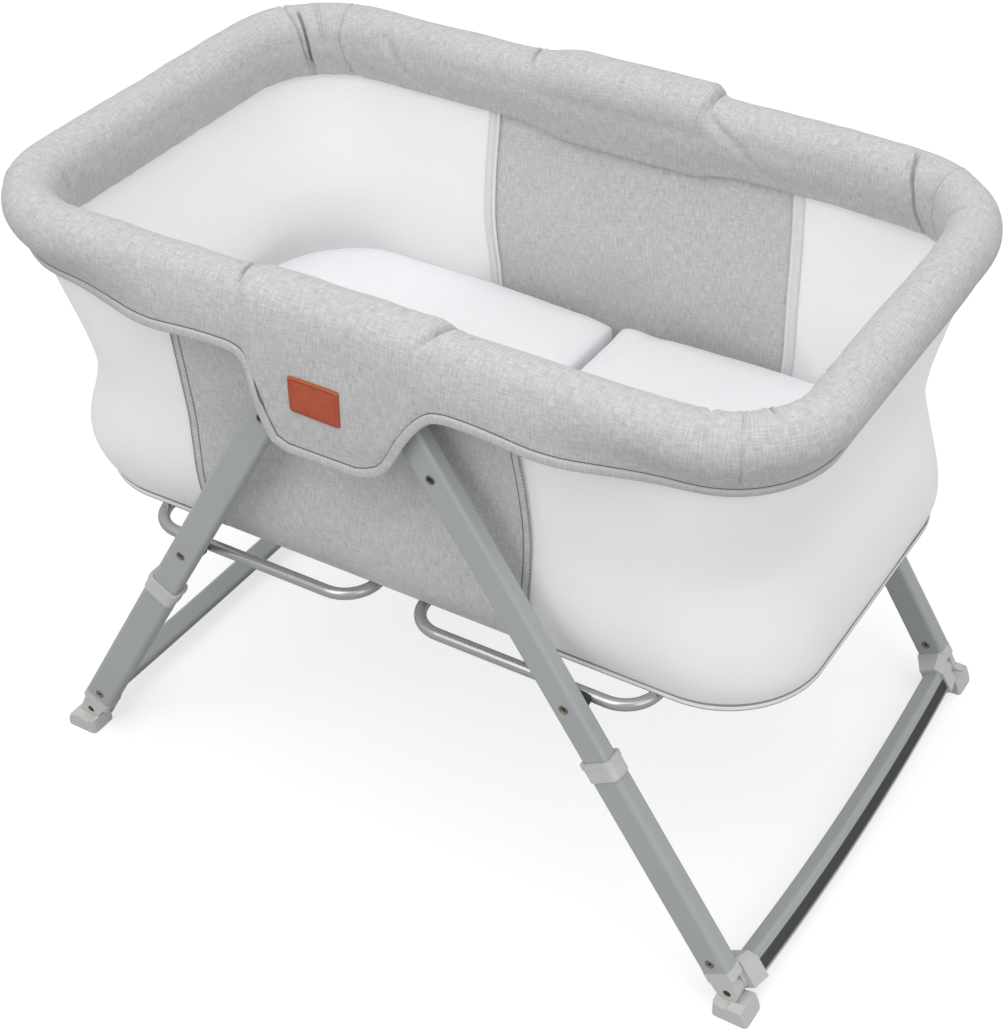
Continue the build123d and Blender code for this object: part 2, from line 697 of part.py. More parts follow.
def floor_pins():
    """Wires that pin the two boards to the middle strip."""
    return [rod_y(side * floor_hinge_x, floor_hinge_z, hinge_pin_radius,
                  -knuckle_half_span, knuckle_half_span) for side in (-1, 1)]


def mattress():
    """One half of the padded mattress."""
    outline = floor_outline(mattress_half_length, mattress_half_width, mattress_corner, mattress_inner_x)
    bottom = board_top_z + piece_gap
    pad = Pos(0, 0, bottom) * extrude(outline, mattress_height)
    return fillet(pad.edges().group_by(Axis.Z)[-1], mattress_edge)


def all_pieces():
    """Every piece of the bassinet by name; a list is a group of like pieces."""
    pieces = {}
    pairs = {"upper_leg": upper_leg(), "lower_leg": lower_leg(), "foot_socket": foot_socket(),
             "flip_foot": flip_foot()}
    for name, front_right in pairs.items():
        front_left = other_hand(front_right)
        pieces[f"{name}_front_right"] = front_right
        pieces[f"{name}_front_left"] = front_left
        pieces[f"{name}_back_right"] = across(front_right)
        pieces[f"{name}_back_left"] = across(front_left)

    groups = {"leg_collars": [leg_collar()], "leg_bolts": leg_bolts(), "loop_spacers": [loop_spacer()],
              "foot_screws": foot_fasteners()}
    for name, front in groups.items():
        right = front + [across(piece) for piece in front]
        pieces[f"{name}_right"] = right
        pieces[f"{name}_left"] = [other_hand(piece) for piece in right]

    ends = {"rocker_rail": rocker_rail(), "rail_strip": rail_strip(), "rim_tube": rim_tube(),
            "rim_pad": rim_pad(), "floor_loop": floor_loop(), "floor_board": floor_board(),
            "mattress": mattress()}
    for name, right in ends.items():
        pieces[f"{name}_right"] = right
        pieces[f"{name}_left"] = other_hand(right)

    sides = {"hub_body": hub_body(), "hub_cover": hub_cover(), "centre_sleeve": centre_sleeve(),
             "release_button": release_button(), "release_spring": release_spring(), "flap": flap()}
    for name, front in sides.items():
        pieces[f"{name}_front"] = front
        pieces[f"{name}_back"] = across(front)
    pins, screws = hub_pins(), cover_screws()
    pieces["hub_pins"] = pins + [across(pin) for pin in pins]
    pieces["cover_screws"] = screws + [across(screw) for screw in screws]
    pieces["leather_patch"] = patch()

    wall = soft_wall()
    reach, height = 2 * rim_half_length, 2 * rim_z
    seam = panel_half_length
    pieces["side_panel_front"] = wall & block(-seam, seam, -reach, 0, 0, height)
    pieces["side_panel_back"] = wall & block(-seam, seam, 0, reach, 0, height)
    pieces["mesh_wall_right"] = wall & block(seam, reach, -reach, reach, 0, height)
    pieces["mesh_wall_left"] = wall & block(-reach, -seam, -reach, reach, 0, height)

    pieces["floor_hinge_strip"] = floor_hinge_strip()
    pieces["floor_pins"] = floor_pins()
    return pieces


os.makedirs("parts", exist_ok=True)
for piece_name, piece in all_pieces().items():
    shape = Compound(children=piece) if isinstance(piece, list) else piece
    export_step(shape, f"parts/{piece_name}.step")
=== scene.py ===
"""Looks of a travel bassinet on a folding stand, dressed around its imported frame.

Metres, in the frame of the CAD model: X along the bed, Y from front to back, Z up.
"""

import json
import logging
import math
from dataclasses import dataclass
from enum import Enum
from typing import Iterable, Sequence

import bpy
import numpy as np
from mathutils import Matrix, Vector, noise


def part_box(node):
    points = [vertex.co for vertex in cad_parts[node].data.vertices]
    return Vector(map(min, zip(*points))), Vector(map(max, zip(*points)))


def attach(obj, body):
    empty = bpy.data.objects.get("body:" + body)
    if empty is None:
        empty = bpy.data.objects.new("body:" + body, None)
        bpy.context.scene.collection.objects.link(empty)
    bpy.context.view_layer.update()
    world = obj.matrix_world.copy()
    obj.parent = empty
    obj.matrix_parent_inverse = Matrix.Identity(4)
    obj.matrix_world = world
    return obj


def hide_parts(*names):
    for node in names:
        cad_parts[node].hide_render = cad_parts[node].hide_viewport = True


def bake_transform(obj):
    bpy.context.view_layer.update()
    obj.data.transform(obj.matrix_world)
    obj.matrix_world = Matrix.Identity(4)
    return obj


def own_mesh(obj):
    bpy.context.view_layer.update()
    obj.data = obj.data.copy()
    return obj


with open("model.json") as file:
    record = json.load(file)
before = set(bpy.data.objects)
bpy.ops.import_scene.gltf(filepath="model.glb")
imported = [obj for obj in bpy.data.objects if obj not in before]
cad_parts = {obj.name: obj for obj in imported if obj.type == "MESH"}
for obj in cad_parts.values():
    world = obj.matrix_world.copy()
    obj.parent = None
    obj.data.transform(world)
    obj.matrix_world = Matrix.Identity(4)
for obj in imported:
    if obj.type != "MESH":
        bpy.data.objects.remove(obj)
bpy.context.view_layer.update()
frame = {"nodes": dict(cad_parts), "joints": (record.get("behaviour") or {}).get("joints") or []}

LOG = logging.getLogger("bassinet")
Array = np.ndarray
Piece = bpy.types.Object
Material = bpy.types.Material
Socket = bpy.types.NodeSocket
MM = 0.001


class Flank(Enum):
    """A part of the bed that comes twice; the value is its sign along its axis."""

    @property
    def word(self) -> str:
        """The flank's name as the frame writes it."""
        return self.name.lower()


class Hand(Flank):
    """The two ends of the bed."""

    RIGHT = 1
    LEFT = -1


class Side(Flank):
    """The two long sides of the bed."""

    FRONT = -1
    BACK = 1


def srgb(red: float, green: float, blue: float) -> tuple[float, float, float, float]:
    """Turns a display colour of 0 to 255 into a linear one with full alpha.

    Args:
        red, green, blue: The display values.

    Returns:
        The linear colour.
    """
    shares = [c / 255 for c in (red, green, blue)]
    linear = [c / 12.92 if c <= 0.04 else ((c + 0.055) / 1.055) ** 2.4 for c in shares]
    return (*linear, 1.0)


def darker(colour: tuple, share: float) -> tuple[float, ...]:
    """A linear colour brought down to a share of its light."""
    return tuple(c * share for c in colour[:3]) + (1.0,)


def ramp(low: float, high: float, value: Array) -> Array:
    """A smooth step from 0 at low to 1 at high.

    Args:
        low, high: The ends of the step, in either order.
        value: Where it is read.

    Returns:
        The step's height at each value.
    """
    t = np.clip((np.asarray(value, float) - low) / (high - low), 0, 1)
    return t * t * (3 - 2 * t)


def plateau(rise: tuple[float, float], fall: tuple[float, float], value: Array) -> Array:
    """1 between two smooth steps, and 0 outside them."""
    return ramp(*rise, value) - ramp(*fall, value)


def curve_through(knots: Sequence[tuple[float, float]], at: Array) -> Array:
    """A smooth curve through knots of rising position, without overshoot at the ends.

    Args:
        knots: Pairs of position and value.
        at: The positions where the curve is read.

    Returns:
        The curve's values.
    """
    x, y = np.array(knots, float).T
    slope = np.gradient(y, x)
    i = np.clip(np.searchsorted(x, at) - 1, 0, len(x) - 2)
    h = x[i + 1] - x[i]
    t = np.clip((at - x[i]) / h, 0, 1)
    t2, t3 = t * t, t ** 3
    return ((2 * t3 - 3 * t2 + 1) * y[i] + (t3 - 2 * t2 + t) * h * slope[i]
            + (3 * t2 - 2 * t3) * y[i + 1] + (t3 - t2) * h * slope[i + 1])


def soft_noise(points: Array, pitch: float, seed: float) -> Array:
    """Smooth noise from about -1 to 1 at points in space.

    Args:
        points: An array of points, of any shape with three columns last.
        pitch: The size of the lumps.
        seed: Shifts the pattern.

    Returns:
        One value for each point.
    """
    flat = points.reshape(-1, 3) / pitch + seed
    values = [noise.noise(Vector(p)) for p in flat]
    return np.array(values).reshape(points.shape[:-1])


def unit(vectors: Array) -> Array:
    """Vectors of length 1 in the same directions."""
    return vectors / np.linalg.norm(vectors, axis=-1, keepdims=True)


def run_along(points: Array) -> Array:
    """Distance of each point from the first of its row, along the row.

    Args:
        points: One row of points, or rows by columns by 2 or 3.

    Returns:
        The distances, in the shape of the points without their last axis.
    """
    steps = np.linalg.norm(np.diff(points, axis=-2), axis=-1)
    return np.concatenate([np.zeros((*steps.shape[:-1], 1)), np.cumsum(steps, axis=-1)], axis=-1)


def read_along(at: Array, run: Array, vectors: Array) -> Array:
    """Reads a row of vectors at places between them.

    Args:
        at: The places.
        run: The place of each vector, rising.
        vectors: The row, one vector a line.

    Returns:
        One vector for each place.
    """
    return np.stack([np.interp(at, run, vectors[:, k]) for k in range(3)], axis=1)


def grid_normals(grid: Array, wrap: bool = False) -> Array:
    """Unit normals of a grid of points.

    Args:
        grid: Rows by columns by 3.
        wrap: Whether the columns close on themselves.

    Returns:
        The normals, in the grid's shape.
    """
    along = np.gradient(grid, axis=0)
    if wrap:
        across = (np.roll(grid, -1, axis=1) - np.roll(grid, 1, axis=1)) / 2
    else:
        across = np.gradient(grid, axis=1)
    normal = np.cross(along, across)
    return normal / np.maximum(np.linalg.norm(normal, axis=2, keepdims=True), 1e-12)


def grid_faces(rows: int, columns: int, wrap: bool = False, start: int = 0) -> list[tuple[int, ...]]:
    """Quads of a grid whose points are numbered row by row.

    Args:
        rows, columns: The grid's counts.
        wrap: Whether the columns close on themselves.
        start: The first point's number.

    Returns:
        The quads.
    """
    faces = []
    for i in range(rows - 1):
        for j in range(columns if wrap else columns - 1):
            k = (j + 1) % columns
            a, b = start + i * columns, start + (i + 1) * columns
            faces.append((a + j, a + k, b + k, b + j))
    return faces


def cap_faces(rows: int, columns: int, start: int = 0) -> list[tuple[int, ...]]:
    """The two end faces of a grid whose columns close on themselves.

    Args:
        rows, columns: The grid's counts.
        start: The first point's number.

    Returns:
        The first and the last face.
    """
    first = range(start, start + columns)
    return [tuple(first), tuple((rows - 1) * columns + k for k in reversed(first))]


def new_piece(name: str, points: Array, faces: Iterable[Sequence[int]], material: Material,
              weave: Array | None = None) -> Piece:
    """Makes a smooth mesh object in the frame's own coordinates.

    Args:
        name: The piece's name.
        points: Its vertices.
        faces: Its faces, by vertex number.
        material: Its finish.
        weave: The place of each vertex on the cloth, in metres, for the finish's thread.

    Returns:
        The new object.
    """
    mesh = bpy.data.meshes.new(name)
    mesh.from_pydata(np.asarray(points, float).reshape(-1, 3).tolist(), [], list(faces))
    mesh.validate()
    if weave is not None:
        attribute = mesh.attributes.new("weave", "FLOAT_VECTOR", "POINT")
        flat = np.zeros((len(mesh.vertices), 3), np.float32)
        flat[:, :2] = weave.reshape(-1, 2)
        attribute.data.foreach_set("vector", flat.ravel())
    mesh.shade_smooth()
    mesh.materials.append(material)
    piece = bpy.data.objects.new(name, mesh)
    bpy.context.scene.collection.objects.link(piece)
    face_outward(piece)
    return piece


def face_outward(piece: Piece) -> None:
    """Turns a closed mesh's faces outward if its volume comes out negative."""
    mesh = piece.data
    mesh.calc_loop_triangles()
    points = np.array([v.co for v in mesh.vertices])
    corners = np.array([t.vertices for t in mesh.loop_triangles])
    a, b, c = (points[corners[:, k]] for k in range(3))
    if (a * np.cross(b, c)).sum() < 0:
        mesh.flip_normals()


def shell(name: str, grid: Array, thickness: float, material: Material,
          weave: Array | None = None) -> Piece:
    """A thin closed sheet from the grid of one of its faces.

    Args:
        name: The piece's name.
        grid: The face, rows by columns by 3.
        thickness: The cloth's thickness, taken against the grid's normals.
        material: Its finish.
        weave: The place of each grid point on the cloth, rows by columns by 2.

    Returns:
        The new object.
    """
    rows, columns = grid.shape[:2]
    back = grid - thickness * grid_normals(grid)
    count = rows * columns
    front_faces = grid_faces(rows, columns)
    faces = front_faces + [tuple(count + v for v in reversed(face)) for face in front_faces]
    rim = list(range(columns)) + [i * columns + columns - 1 for i in range(1, rows)]
    rim += list(range(rows * columns - 2, (rows - 1) * columns - 1, -1))
    rim += [i * columns for i in range(rows - 2, 0, -1)]
    for a, b in zip(rim, rim[1:] + rim[:1]):
        faces.append((b, a, count + a, count + b))
    cloth = None if weave is None else np.concatenate([weave.reshape(-1, 2)] * 2)
    return new_piece(name, np.concatenate([grid.reshape(-1, 3), back.reshape(-1, 3)]), faces, material, cloth)


def tube(name: str, line: Array, radius: float, material: Material,
         sides: int = 8) -> Piece:
    """A round cord of piping or wire along a line.

    Args:
        name: The piece's name.
        line: Points along its middle.
        radius: Its radius.
        material: Its finish.
        sides: How many sides its section has.

    Returns:
        The new object.
    """
    ahead = unit(np.gradient(line, axis=0))
    up = np.where(np.abs(ahead[:, 2:]) > 0.9, [[1.0, 0, 0]], [[0, 0, 1.0]])
    side = unit(np.cross(ahead, up))
    rise = np.cross(side, ahead)
    turn = np.linspace(0, 2 * math.pi, sides, endpoint=False)
    aside, above = np.cos(turn)[None, :, None], np.sin(turn)[None, :, None]
    grid = line[:, None] + radius * (aside * side[:, None] + above * rise[:, None])
    faces = grid_faces(len(line), sides, wrap=True) + cap_faces(len(line), sides)
    return new_piece(name, grid, faces, material)


def stitches(name: str, places: Array, along: Array, out: Array, material: Material,
             length: float = 2.8 * MM, width: float = 0.45 * MM) -> Piece:
    """A row of stitches, each a short thread that dips into the cloth at its ends.

    Args:
        name: The piece's name.
        places: The middle of each stitch, on the cloth.
        along: The direction of each stitch.
        out: The direction out of the cloth at each stitch.
        material: The thread's finish.
        length: A stitch's length.
        width: The thread's radius.

    Returns:
        The new object.
    """
    reach = np.array([-0.5, -0.38, 0.0, 0.38, 0.5]) * length
    lift = np.array([-0.6, 0.45, 0.8, 0.45, -0.6]) * width
    swell = np.array([0.35, 0.9, 1.0, 0.9, 0.35]) * width
    turn = np.linspace(0, 2 * math.pi, 6, endpoint=False)
    points, faces = [], []
    rows, columns = len(reach), len(turn)
    for number, (place, a, o, c) in enumerate(zip(places, along, out, np.cross(along, out))):
        ring = np.cos(turn)[:, None] * c + np.sin(turn)[:, None] * o
        for step, rise, size in zip(reach, lift, swell):
            points.append(place + step * a + rise * o + size * ring)
        start = number * rows * columns
        faces += grid_faces(rows, columns, wrap=True, start=start) + cap_faces(rows, columns, start)
    return new_piece(name, np.concatenate(points), faces, material)


class Wire:
    """A value in a shader, so that Python operators on it add Math nodes."""

    def __init__(self, shader: "Shader", socket: Socket) -> None:
        """Keeps the socket and the shader that it belongs to."""
        self.shader = shader
        self.socket = socket

    def _maths(self, operation: str, first: object, second: object) -> "Wire":
        """Adds one Math node and returns its value."""
        return self.shader.node("ShaderNodeMath", {"operation": operation}, {0: first, 1: second})

    def __add__(self, other: object) -> "Wire":
        """This value plus another."""
        return self._maths("ADD", self, other)

    __radd__ = __add__

    def __sub__(self, other: object) -> "Wire":
        """This value less another."""
        return self._maths("SUBTRACT", self, other)

    def __rsub__(self, other: object) -> "Wire":
        """Another value less this one."""
        return self._maths("SUBTRACT", other, self)

    def __mul__(self, other: object) -> "Wire":
        """This value times another."""
        return self._maths("MULTIPLY", self, other)

    __rmul__ = __mul__

    def __lt__(self, other: object) -> "Wire":
        """1 where this value is under another, and 0 elsewhere."""
        return self._maths("LESS_THAN", self, other)


class Shader:
    """One material under construction, around a Principled surface."""

    def __init__(self, name: str) -> None:
        """Starts a material with a Principled surface and its output."""
        self.material = bpy.data.materials.new(name)
        self.material.use_nodes = True
        self.tree = self.material.node_tree
        self.tree.nodes.clear()
        self.surface = self.tree.nodes.new("ShaderNodeBsdfPrincipled")
        output = self.tree.nodes.new("ShaderNodeOutputMaterial")
        self.tree.links.new(self.surface.outputs["BSDF"], output.inputs["Surface"])

    def node(self, kind: str, settings: dict | None = None, sockets: dict | None = None,
             out: int | str = 0) -> Wire:
        """Adds a node of any kind.

        Args:
            kind: The node's type.
            settings: Its own settings, which are set first.
            sockets: Values or wires for its inputs, by name or number.
            out: The output to carry on with.

        Returns:
            The chosen output.
        """
        made = self.tree.nodes.new(kind)
        for name, value in (settings or {}).items():
            setattr(made, name, value)
        for name, value in (sockets or {}).items():
            self.feed(made.inputs[name], value)
        return Wire(self, made.outputs[out])

    def feed(self, socket: Socket, value: object) -> None:
        """Links a wire to a socket, or sets the socket's own value."""
        if isinstance(value, Wire):
            self.tree.links.new(value.socket, socket)
        else:
            socket.default_value = value

    def finish(self, sockets: dict) -> Material:
        """Feeds the surface's sockets and returns the material."""
        for name, value in sockets.items():
            self.feed(self.surface.inputs[name], value)
        return self.material

    def place(self, on_cloth: bool) -> Wire:
        """The place on the cloth where the mesh knows it, or else the place in the frame."""
        if on_cloth:
            return self.node("ShaderNodeAttribute", {"attribute_name": "weave"}, out="Vector")
        return self.node("ShaderNodeTexCoord", out="Object")

    def stretch(self, place: Wire, scale: tuple[float, float, float]) -> Wire:
        """A place with each axis scaled by itself."""
        return self.node("ShaderNodeVectorMath", {"operation": "MULTIPLY"}, {0: place, 1: scale})

    def cloud(self, place: Wire, scale: float, detail: float, rough: float = 0.5) -> Wire:
        """Noise around a half, at so many lumps to the metre."""
        return self.node("ShaderNodeTexNoise", None,
                         {"Vector": place, "Scale": scale, "Detail": detail, "Roughness": rough})

    def blend(self, share: Wire, low: tuple, high: tuple) -> Wire:
        """A colour between two, by a share that is kept from 0 to 1."""
        return self.node("ShaderNodeMix", {"data_type": "RGBA", "clamp_factor": True},
                         {0: share, 6: low, 7: high}, out=2)

    def relief(self, height: Wire, distance: float, strength: float) -> Wire:
        """A normal from a height of 0 to 1 that stands for so many metres."""
        return self.node("ShaderNodeBump", None,
                         {"Height": height, "Distance": distance, "Strength": strength})


class Finish:
    """What every finish shares: a name, and a surface that is fed by its place."""

    name: str
    on_cloth: bool = False

    def material(self) -> Material:
        """Builds the finish's material."""
        s = Shader(self.name)
        return s.finish(self.sockets(s, s.place(self.on_cloth)))

    def sockets(self, s: Shader, place: Wire) -> dict:
        """What the surface is fed.

        Args:
            s: The material under construction.
            place: The place of each point, on the cloth or in the frame.

        Returns:
            Values and wires, by the surface's sockets.
        """
        raise NotImplementedError


@dataclass(frozen=True)
class MelangeCloth(Finish):
    """Heather cloth of light and dark yarns that run along and across it."""

    name: str = "melange_cloth"
    dark: tuple = srgb(168, 168, 169)
    light: tuple = srgb(207, 207, 207)
    yarns: float = 680.0
    slubs: float = 85.0
    contrast: float = 1.1
    relief_depth: float = 0.25 * MM
    on_cloth: bool = True

    def sockets(self, s: Shader, place: Wire) -> dict:
        """Yarns both ways, with flecks and a patchy drift."""
        up = s.cloud(s.stretch(place, (self.yarns, self.slubs, self.slubs)), 1.0, 1.0)
        along = s.cloud(s.stretch(place, (self.slubs, self.yarns, self.yarns)), 1.0, 1.0)
        fleck = s.cloud(place, self.yarns * 1.4, 1.0)
        patchy = s.cloud(place, 19.0, 2.0)
        tone = up * 0.42 + along * 0.38 + fleck * 0.12 + patchy * 0.08
        share = (tone - 0.5) * (2.6 * self.contrast) + 0.5
        yarn = up * 0.5 + along * 0.5
        return {"Base Color": s.blend(share, self.dark, self.light), "Roughness": 0.92,
                "Specular IOR Level": 0.25, "Sheen Weight": 0.12, "Sheen Roughness": 0.6,
                "Normal": s.relief(yarn + fleck * 0.5, self.relief_depth, 0.7)}


@dataclass(frozen=True)
class KnitMesh(Finish):
    """Fine white warp-knit mesh with rows of small holes, with a faint painted glow."""

    name: str = "knit_mesh"
    thread: tuple = srgb(244, 244, 245)
    shade: tuple = srgb(238, 238, 239)
    # Painted light: the mesh glows a little, so the bed's inside looks lit by light coming through its walls.
    glow: float = 0.09
    holes: float = 900.0
    on_cloth: bool = True

    def sockets(self, s: Shader, place: Wire) -> dict:
        """Threads around holes that let some light through, and a faint painted glow that stands in for light
        passing through the mesh into the bed.
        """
        cell = s.node("ShaderNodeTexVoronoi", {"feature": "F1", "voronoi_dimensions": "2D"},
                      {"Vector": s.stretch(place, (1.0, 0.62, 1.0)), "Scale": self.holes, "Randomness": 0.12})
        alpha = 0.8 - (cell < 0.26) * 0.12
        patchy = s.cloud(place, 6.0, 1.0)
        share = cell * 0.6 + patchy * 0.4
        return {"Base Color": s.blend(share, self.shade, self.thread), "Roughness": 0.8,
                "Specular IOR Level": 0.3, "Alpha": alpha, "Sheen Weight": 0.08,
                # Painted light: a faint emission in the thread's colour brightens the mesh.
                "Emission Color": self.thread, "Emission Strength": self.glow,
                "Normal": s.relief(cell, 0.1 * MM, 0.25)}


@dataclass(frozen=True)
class CottonCover(Finish):
    """Soft white cotton jersey of the mattress."""

    name: str = "cotton_cover"
    light: tuple = srgb(245, 245, 247)
    shade: tuple = srgb(234, 234, 237)

    def sockets(self, s: Shader, place: Wire) -> dict:
        """Fine ribs with a broad drift."""
        rib = s.cloud(s.stretch(place, (900.0, 140.0, 140.0)), 1.0, 1.0)
        broad = s.cloud(place, 9.0, 2.0)
        return {"Base Color": s.blend(rib * 0.4 + broad * 0.6, self.shade, self.light),
                "Roughness": 0.9, "Specular IOR Level": 0.2, "Sheen Weight": 0.15,
                "Normal": s.relief(rib + broad * 0.6, 0.15 * MM, 0.5)}


@dataclass(frozen=True)
class SatinPaint(Finish):
    """Powder paint on steel, with a faint orange peel."""

    name: str
    colour: tuple
    deep: tuple
    rough: float = 0.4
    metal: float = 0.0

    def sockets(self, s: Shader, place: Wire) -> dict:
        """Orange peel over a slow drift of tone and gloss."""
        peel = s.cloud(place, 420.0, 2.0)
        drift = s.cloud(place, 11.0, 2.0)
        return {"Base Color": s.blend(drift * 0.7 + peel * 0.3, self.deep, self.colour),
                "Roughness": self.rough - 0.06 + drift * 0.12, "Metallic": self.metal,
                "Normal": s.relief(peel, 0.06 * MM, 0.5)}


@dataclass(frozen=True)
class MouldedPlastic(Finish):
    """Moulded plastic with a fine spark-eroded grain."""

    name: str
    colour: tuple
    deep: tuple
    rough: float = 0.5
    grain: float = 900.0

    def sockets(self, s: Shader, place: Wire) -> dict:
        """Grain over a slow drift of tone."""
        grain = s.cloud(place, self.grain, 2.0, 0.6)
        drift = s.cloud(place, 25.0, 2.0)
        return {"Base Color": s.blend(drift * 0.6 + grain * 0.4, self.deep, self.colour),
                "Roughness": self.rough - 0.05 + grain * 0.1,
                "Normal": s.relief(grain, 0.05 * MM, 0.5)}


@dataclass(frozen=True)
class BareSteel(Finish):
    """Turned or drawn steel with fine marks."""

    name: str
    colour: tuple
    rough: float = 0.3

    def sockets(self, s: Shader, place: Wire) -> dict:
        """Long fine marks in tone and gloss."""
        marks = s.cloud(s.stretch(place, (2400.0, 120.0, 2400.0)), 1.0, 2.0)
        return {"Base Color": s.blend(marks, darker(self.colour, 0.7), self.colour), "Metallic": 0.9,
                "Roughness": self.rough - 0.08 + marks * 0.16}


@dataclass(frozen=True)
class Leather(Finish):
    """Smooth tanned leather with pores and a burnished drift of colour."""

    name: str = "tan_leather"
    colour: tuple = srgb(190, 89, 55)
    deep: tuple = srgb(162, 70, 43)

    def sockets(self, s: Shader, place: Wire) -> dict:
        """Pores over the drift."""
        pores = s.node("ShaderNodeTexVoronoi", {"feature": "DISTANCE_TO_EDGE"},
                       {"Vector": place, "Scale": 900.0})
        drift = s.cloud(place, 70.0, 3.0)
        share = drift * 0.8 + pores * 0.5
        return {"Base Color": s.blend(share, self.deep, self.colour),
                "Roughness": 0.62 - drift * 0.2, "Normal": s.relief(pores, 0.12 * MM, 0.6)}


@dataclass(frozen=True)
class RibbedTape(Finish):
    """Woven binding tape with ribs across it."""

    name: str
    dark: tuple
    light: tuple
    ribs: float = 900.0
    on_cloth: bool = True

    def sockets(self, s: Shader, place: Wire) -> dict:
        """Ribs with flecks."""
        ribs = s.cloud(s.stretch(place, (self.ribs, 110.0, 110.0)), 1.0, 1.0)
        fleck = s.cloud(place, 520.0, 2.0)
        share = ribs * 0.55 + fleck * 0.65 - 0.1
        return {"Base Color": s.blend(share, self.dark, self.light), "Roughness": 0.9,
                "Specular IOR Level": 0.25, "Sheen Weight": 0.1,
                "Normal": s.relief(ribs + fleck * 0.5, 0.3 * MM, 0.8)}


@dataclass(frozen=True)
class Thread(Finish):
    """Twisted sewing thread."""

    name: str
    colour: tuple

    def sockets(self, s: Shader, place: Wire) -> dict:
        """The twist's light and dark."""
        twist = s.cloud(place, 1800.0, 1.0)
        return {"Base Color": s.blend(twist, darker(self.colour, 0.75), self.colour), "Roughness": 0.7}


class Finishes:
    """Every finish of the bassinet, made once."""

    def __init__(self) -> None:
        """Builds the materials."""
        self.cloth = MelangeCloth().material()
        self.panel = MelangeCloth("panel_cloth", srgb(176, 176, 177), srgb(216, 216, 216)).material()
        self.binding = RibbedTape("binding_tape", srgb(158, 158, 158), srgb(216, 216, 215)).material()
        self.mesh = KnitMesh().material()
        self.seam_tape = RibbedTape("seam_tape", srgb(205, 205, 207), srgb(243, 243, 244), 700.0).material()
        self.cotton = CottonCover().material()
        self.leg_paint = SatinPaint("leg_paint", srgb(174, 178, 178), srgb(164, 168, 168), 0.38).material()
        self.loop_paint = SatinPaint("loop_paint", srgb(192, 194, 193), srgb(178, 180, 180), rough=0.26,
                                     metal=0.8).material()
        plastic = MouldedPlastic
        self.grey_plastic = plastic("grey_plastic", srgb(205, 205, 203), srgb(193, 193, 191)).material()
        self.hub_plastic = plastic("hub_plastic", srgb(128, 130, 131), srgb(116, 118, 120)).material()
        self.button = plastic("button_plastic", srgb(92, 94, 96), srgb(80, 82, 84), 0.4).material()
        self.black = plastic("black_plastic", srgb(44, 45, 46), srgb(34, 35, 36), 0.45).material()
        self.rubber = plastic("strip_rubber", srgb(70, 71, 73), srgb(56, 57, 59), 0.7, 500.0).material()
        self.steel = BareSteel("plain_steel", srgb(190, 190, 188)).material()
        self.rivet = BareSteel("dark_rivet", srgb(92, 84, 72), 0.4).material()
        self.leather = Leather().material()
        self.thread = Thread("grey_thread", srgb(140, 140, 141)).material()
        self.tan_thread = Thread("tan_thread", srgb(150, 68, 42)).material()
        self.piping = Thread("grey_piping", srgb(150, 151, 152)).material()
        # Dark cord colour for the painted shadow line in the groove above each binding tape.
        self.painted_groove_shadow = Thread("painted_groove_shadow", srgb(112, 112, 113)).material()
        # Thread colour of the hem stitches, also used for the dark cords that paint shade lines along the
        # hems.
        self.hem_line = Thread("hem_line", srgb(140, 140, 141)).material()
        self.eyelet = BareSteel("eyelet_brass", srgb(150, 140, 118), 0.35).material()
        self.board = MelangeCloth("floor_cloth", srgb(176, 176, 178), srgb(206, 206, 208),
                                  on_cloth=False).material()


class RimLine:
    """Middle line of the rim: half of a rounded rectangle, from front to back around one end."""

    def __init__(self, corner: float = 0.100) -> None:
        """Takes the rim's size from its steel tube.

        Args:
            corner: The bend's radius, on the middle line.
        """
        low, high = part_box("rim_tube_right")
        tube_radius = (high[2] - low[2]) / 2
        self.z = (high[2] + low[2]) / 2
        self.half_length = high[0] - tube_radius
        self.half_width = high[1] - tube_radius
        self.corner = corner
        self.side_run = self.half_length - corner
        self.bend_run = corner * math.pi / 2
        self.end_run = 2 * (self.half_width - corner)
        self.length = 2 * self.side_run + 2 * self.bend_run + self.end_run

    def at(self, s: Array) -> tuple[Array, Array]:
        """Places on the right-hand half.

        Args:
            s: Distances from the middle of the front side.

        Returns:
            The points and the directions out of the bed there, both in the XY plane.
        """
        back = s > self.length / 2
        near = np.where(back, self.length - s, s)
        turn = np.clip((near - self.side_run) / self.corner, 0, math.pi / 2)
        past = np.clip(near - self.side_run - self.bend_run, 0, None)
        x = np.minimum(near, self.side_run) + self.corner * np.sin(turn)
        y = -self.half_width + self.corner * (1 - np.cos(turn)) + past
        out = np.stack([np.sin(turn), -np.cos(turn)], axis=1)
        flip = np.where(back, -1.0, 1.0)
        return np.stack([x, y * flip], axis=1), out * np.stack([np.ones_like(flip), flip], axis=1)


@dataclass(frozen=True)
class Crease:
    """A fold or seam pressed into the sleeve, as a line over its surface.

    Places are pairs of the distance along the rim's half and the distance over the sleeve from its
    crest, which is positive outward.
    """

    places: tuple[tuple[float, float], ...]
    depth: float
    width: float
    puff: float = 0.2
    fade: float = 0.45

    def press(self, s: Array, q: Array) -> Array:
        """Height that the crease adds at places on the sleeve.

        Args:
            s: Distances along the rim.
            q: Distances over the sleeve from its crest.

        Returns:
            The heights, negative in the fold and positive beside it.
        """
        away = np.full(s.shape, 1e3)
        part = np.zeros(s.shape)
        count = len(self.places) - 1
        for number, ((s0, q0), (s1, q1)) in enumerate(zip(self.places, self.places[1:])):
            run, rise = s1 - s0, q1 - q0
            held = np.clip(((s - s0) * run + (q - q0) * rise) / (run * run + rise * rise), 0, 1)
            gap = np.hypot(s - s0 - held * run, q - q0 - held * rise)
            part = np.where(gap < away, (number + held) / count, part)
            away = np.minimum(away, gap)
        fold = np.exp(-(away / self.width) ** 2)
        beside = np.exp(-((away - 2.2 * self.width) / (1.3 * self.width)) ** 2)
        return (1 - ramp(1 - self.fade, 1, part)) * self.depth * (self.puff * beside - fold)


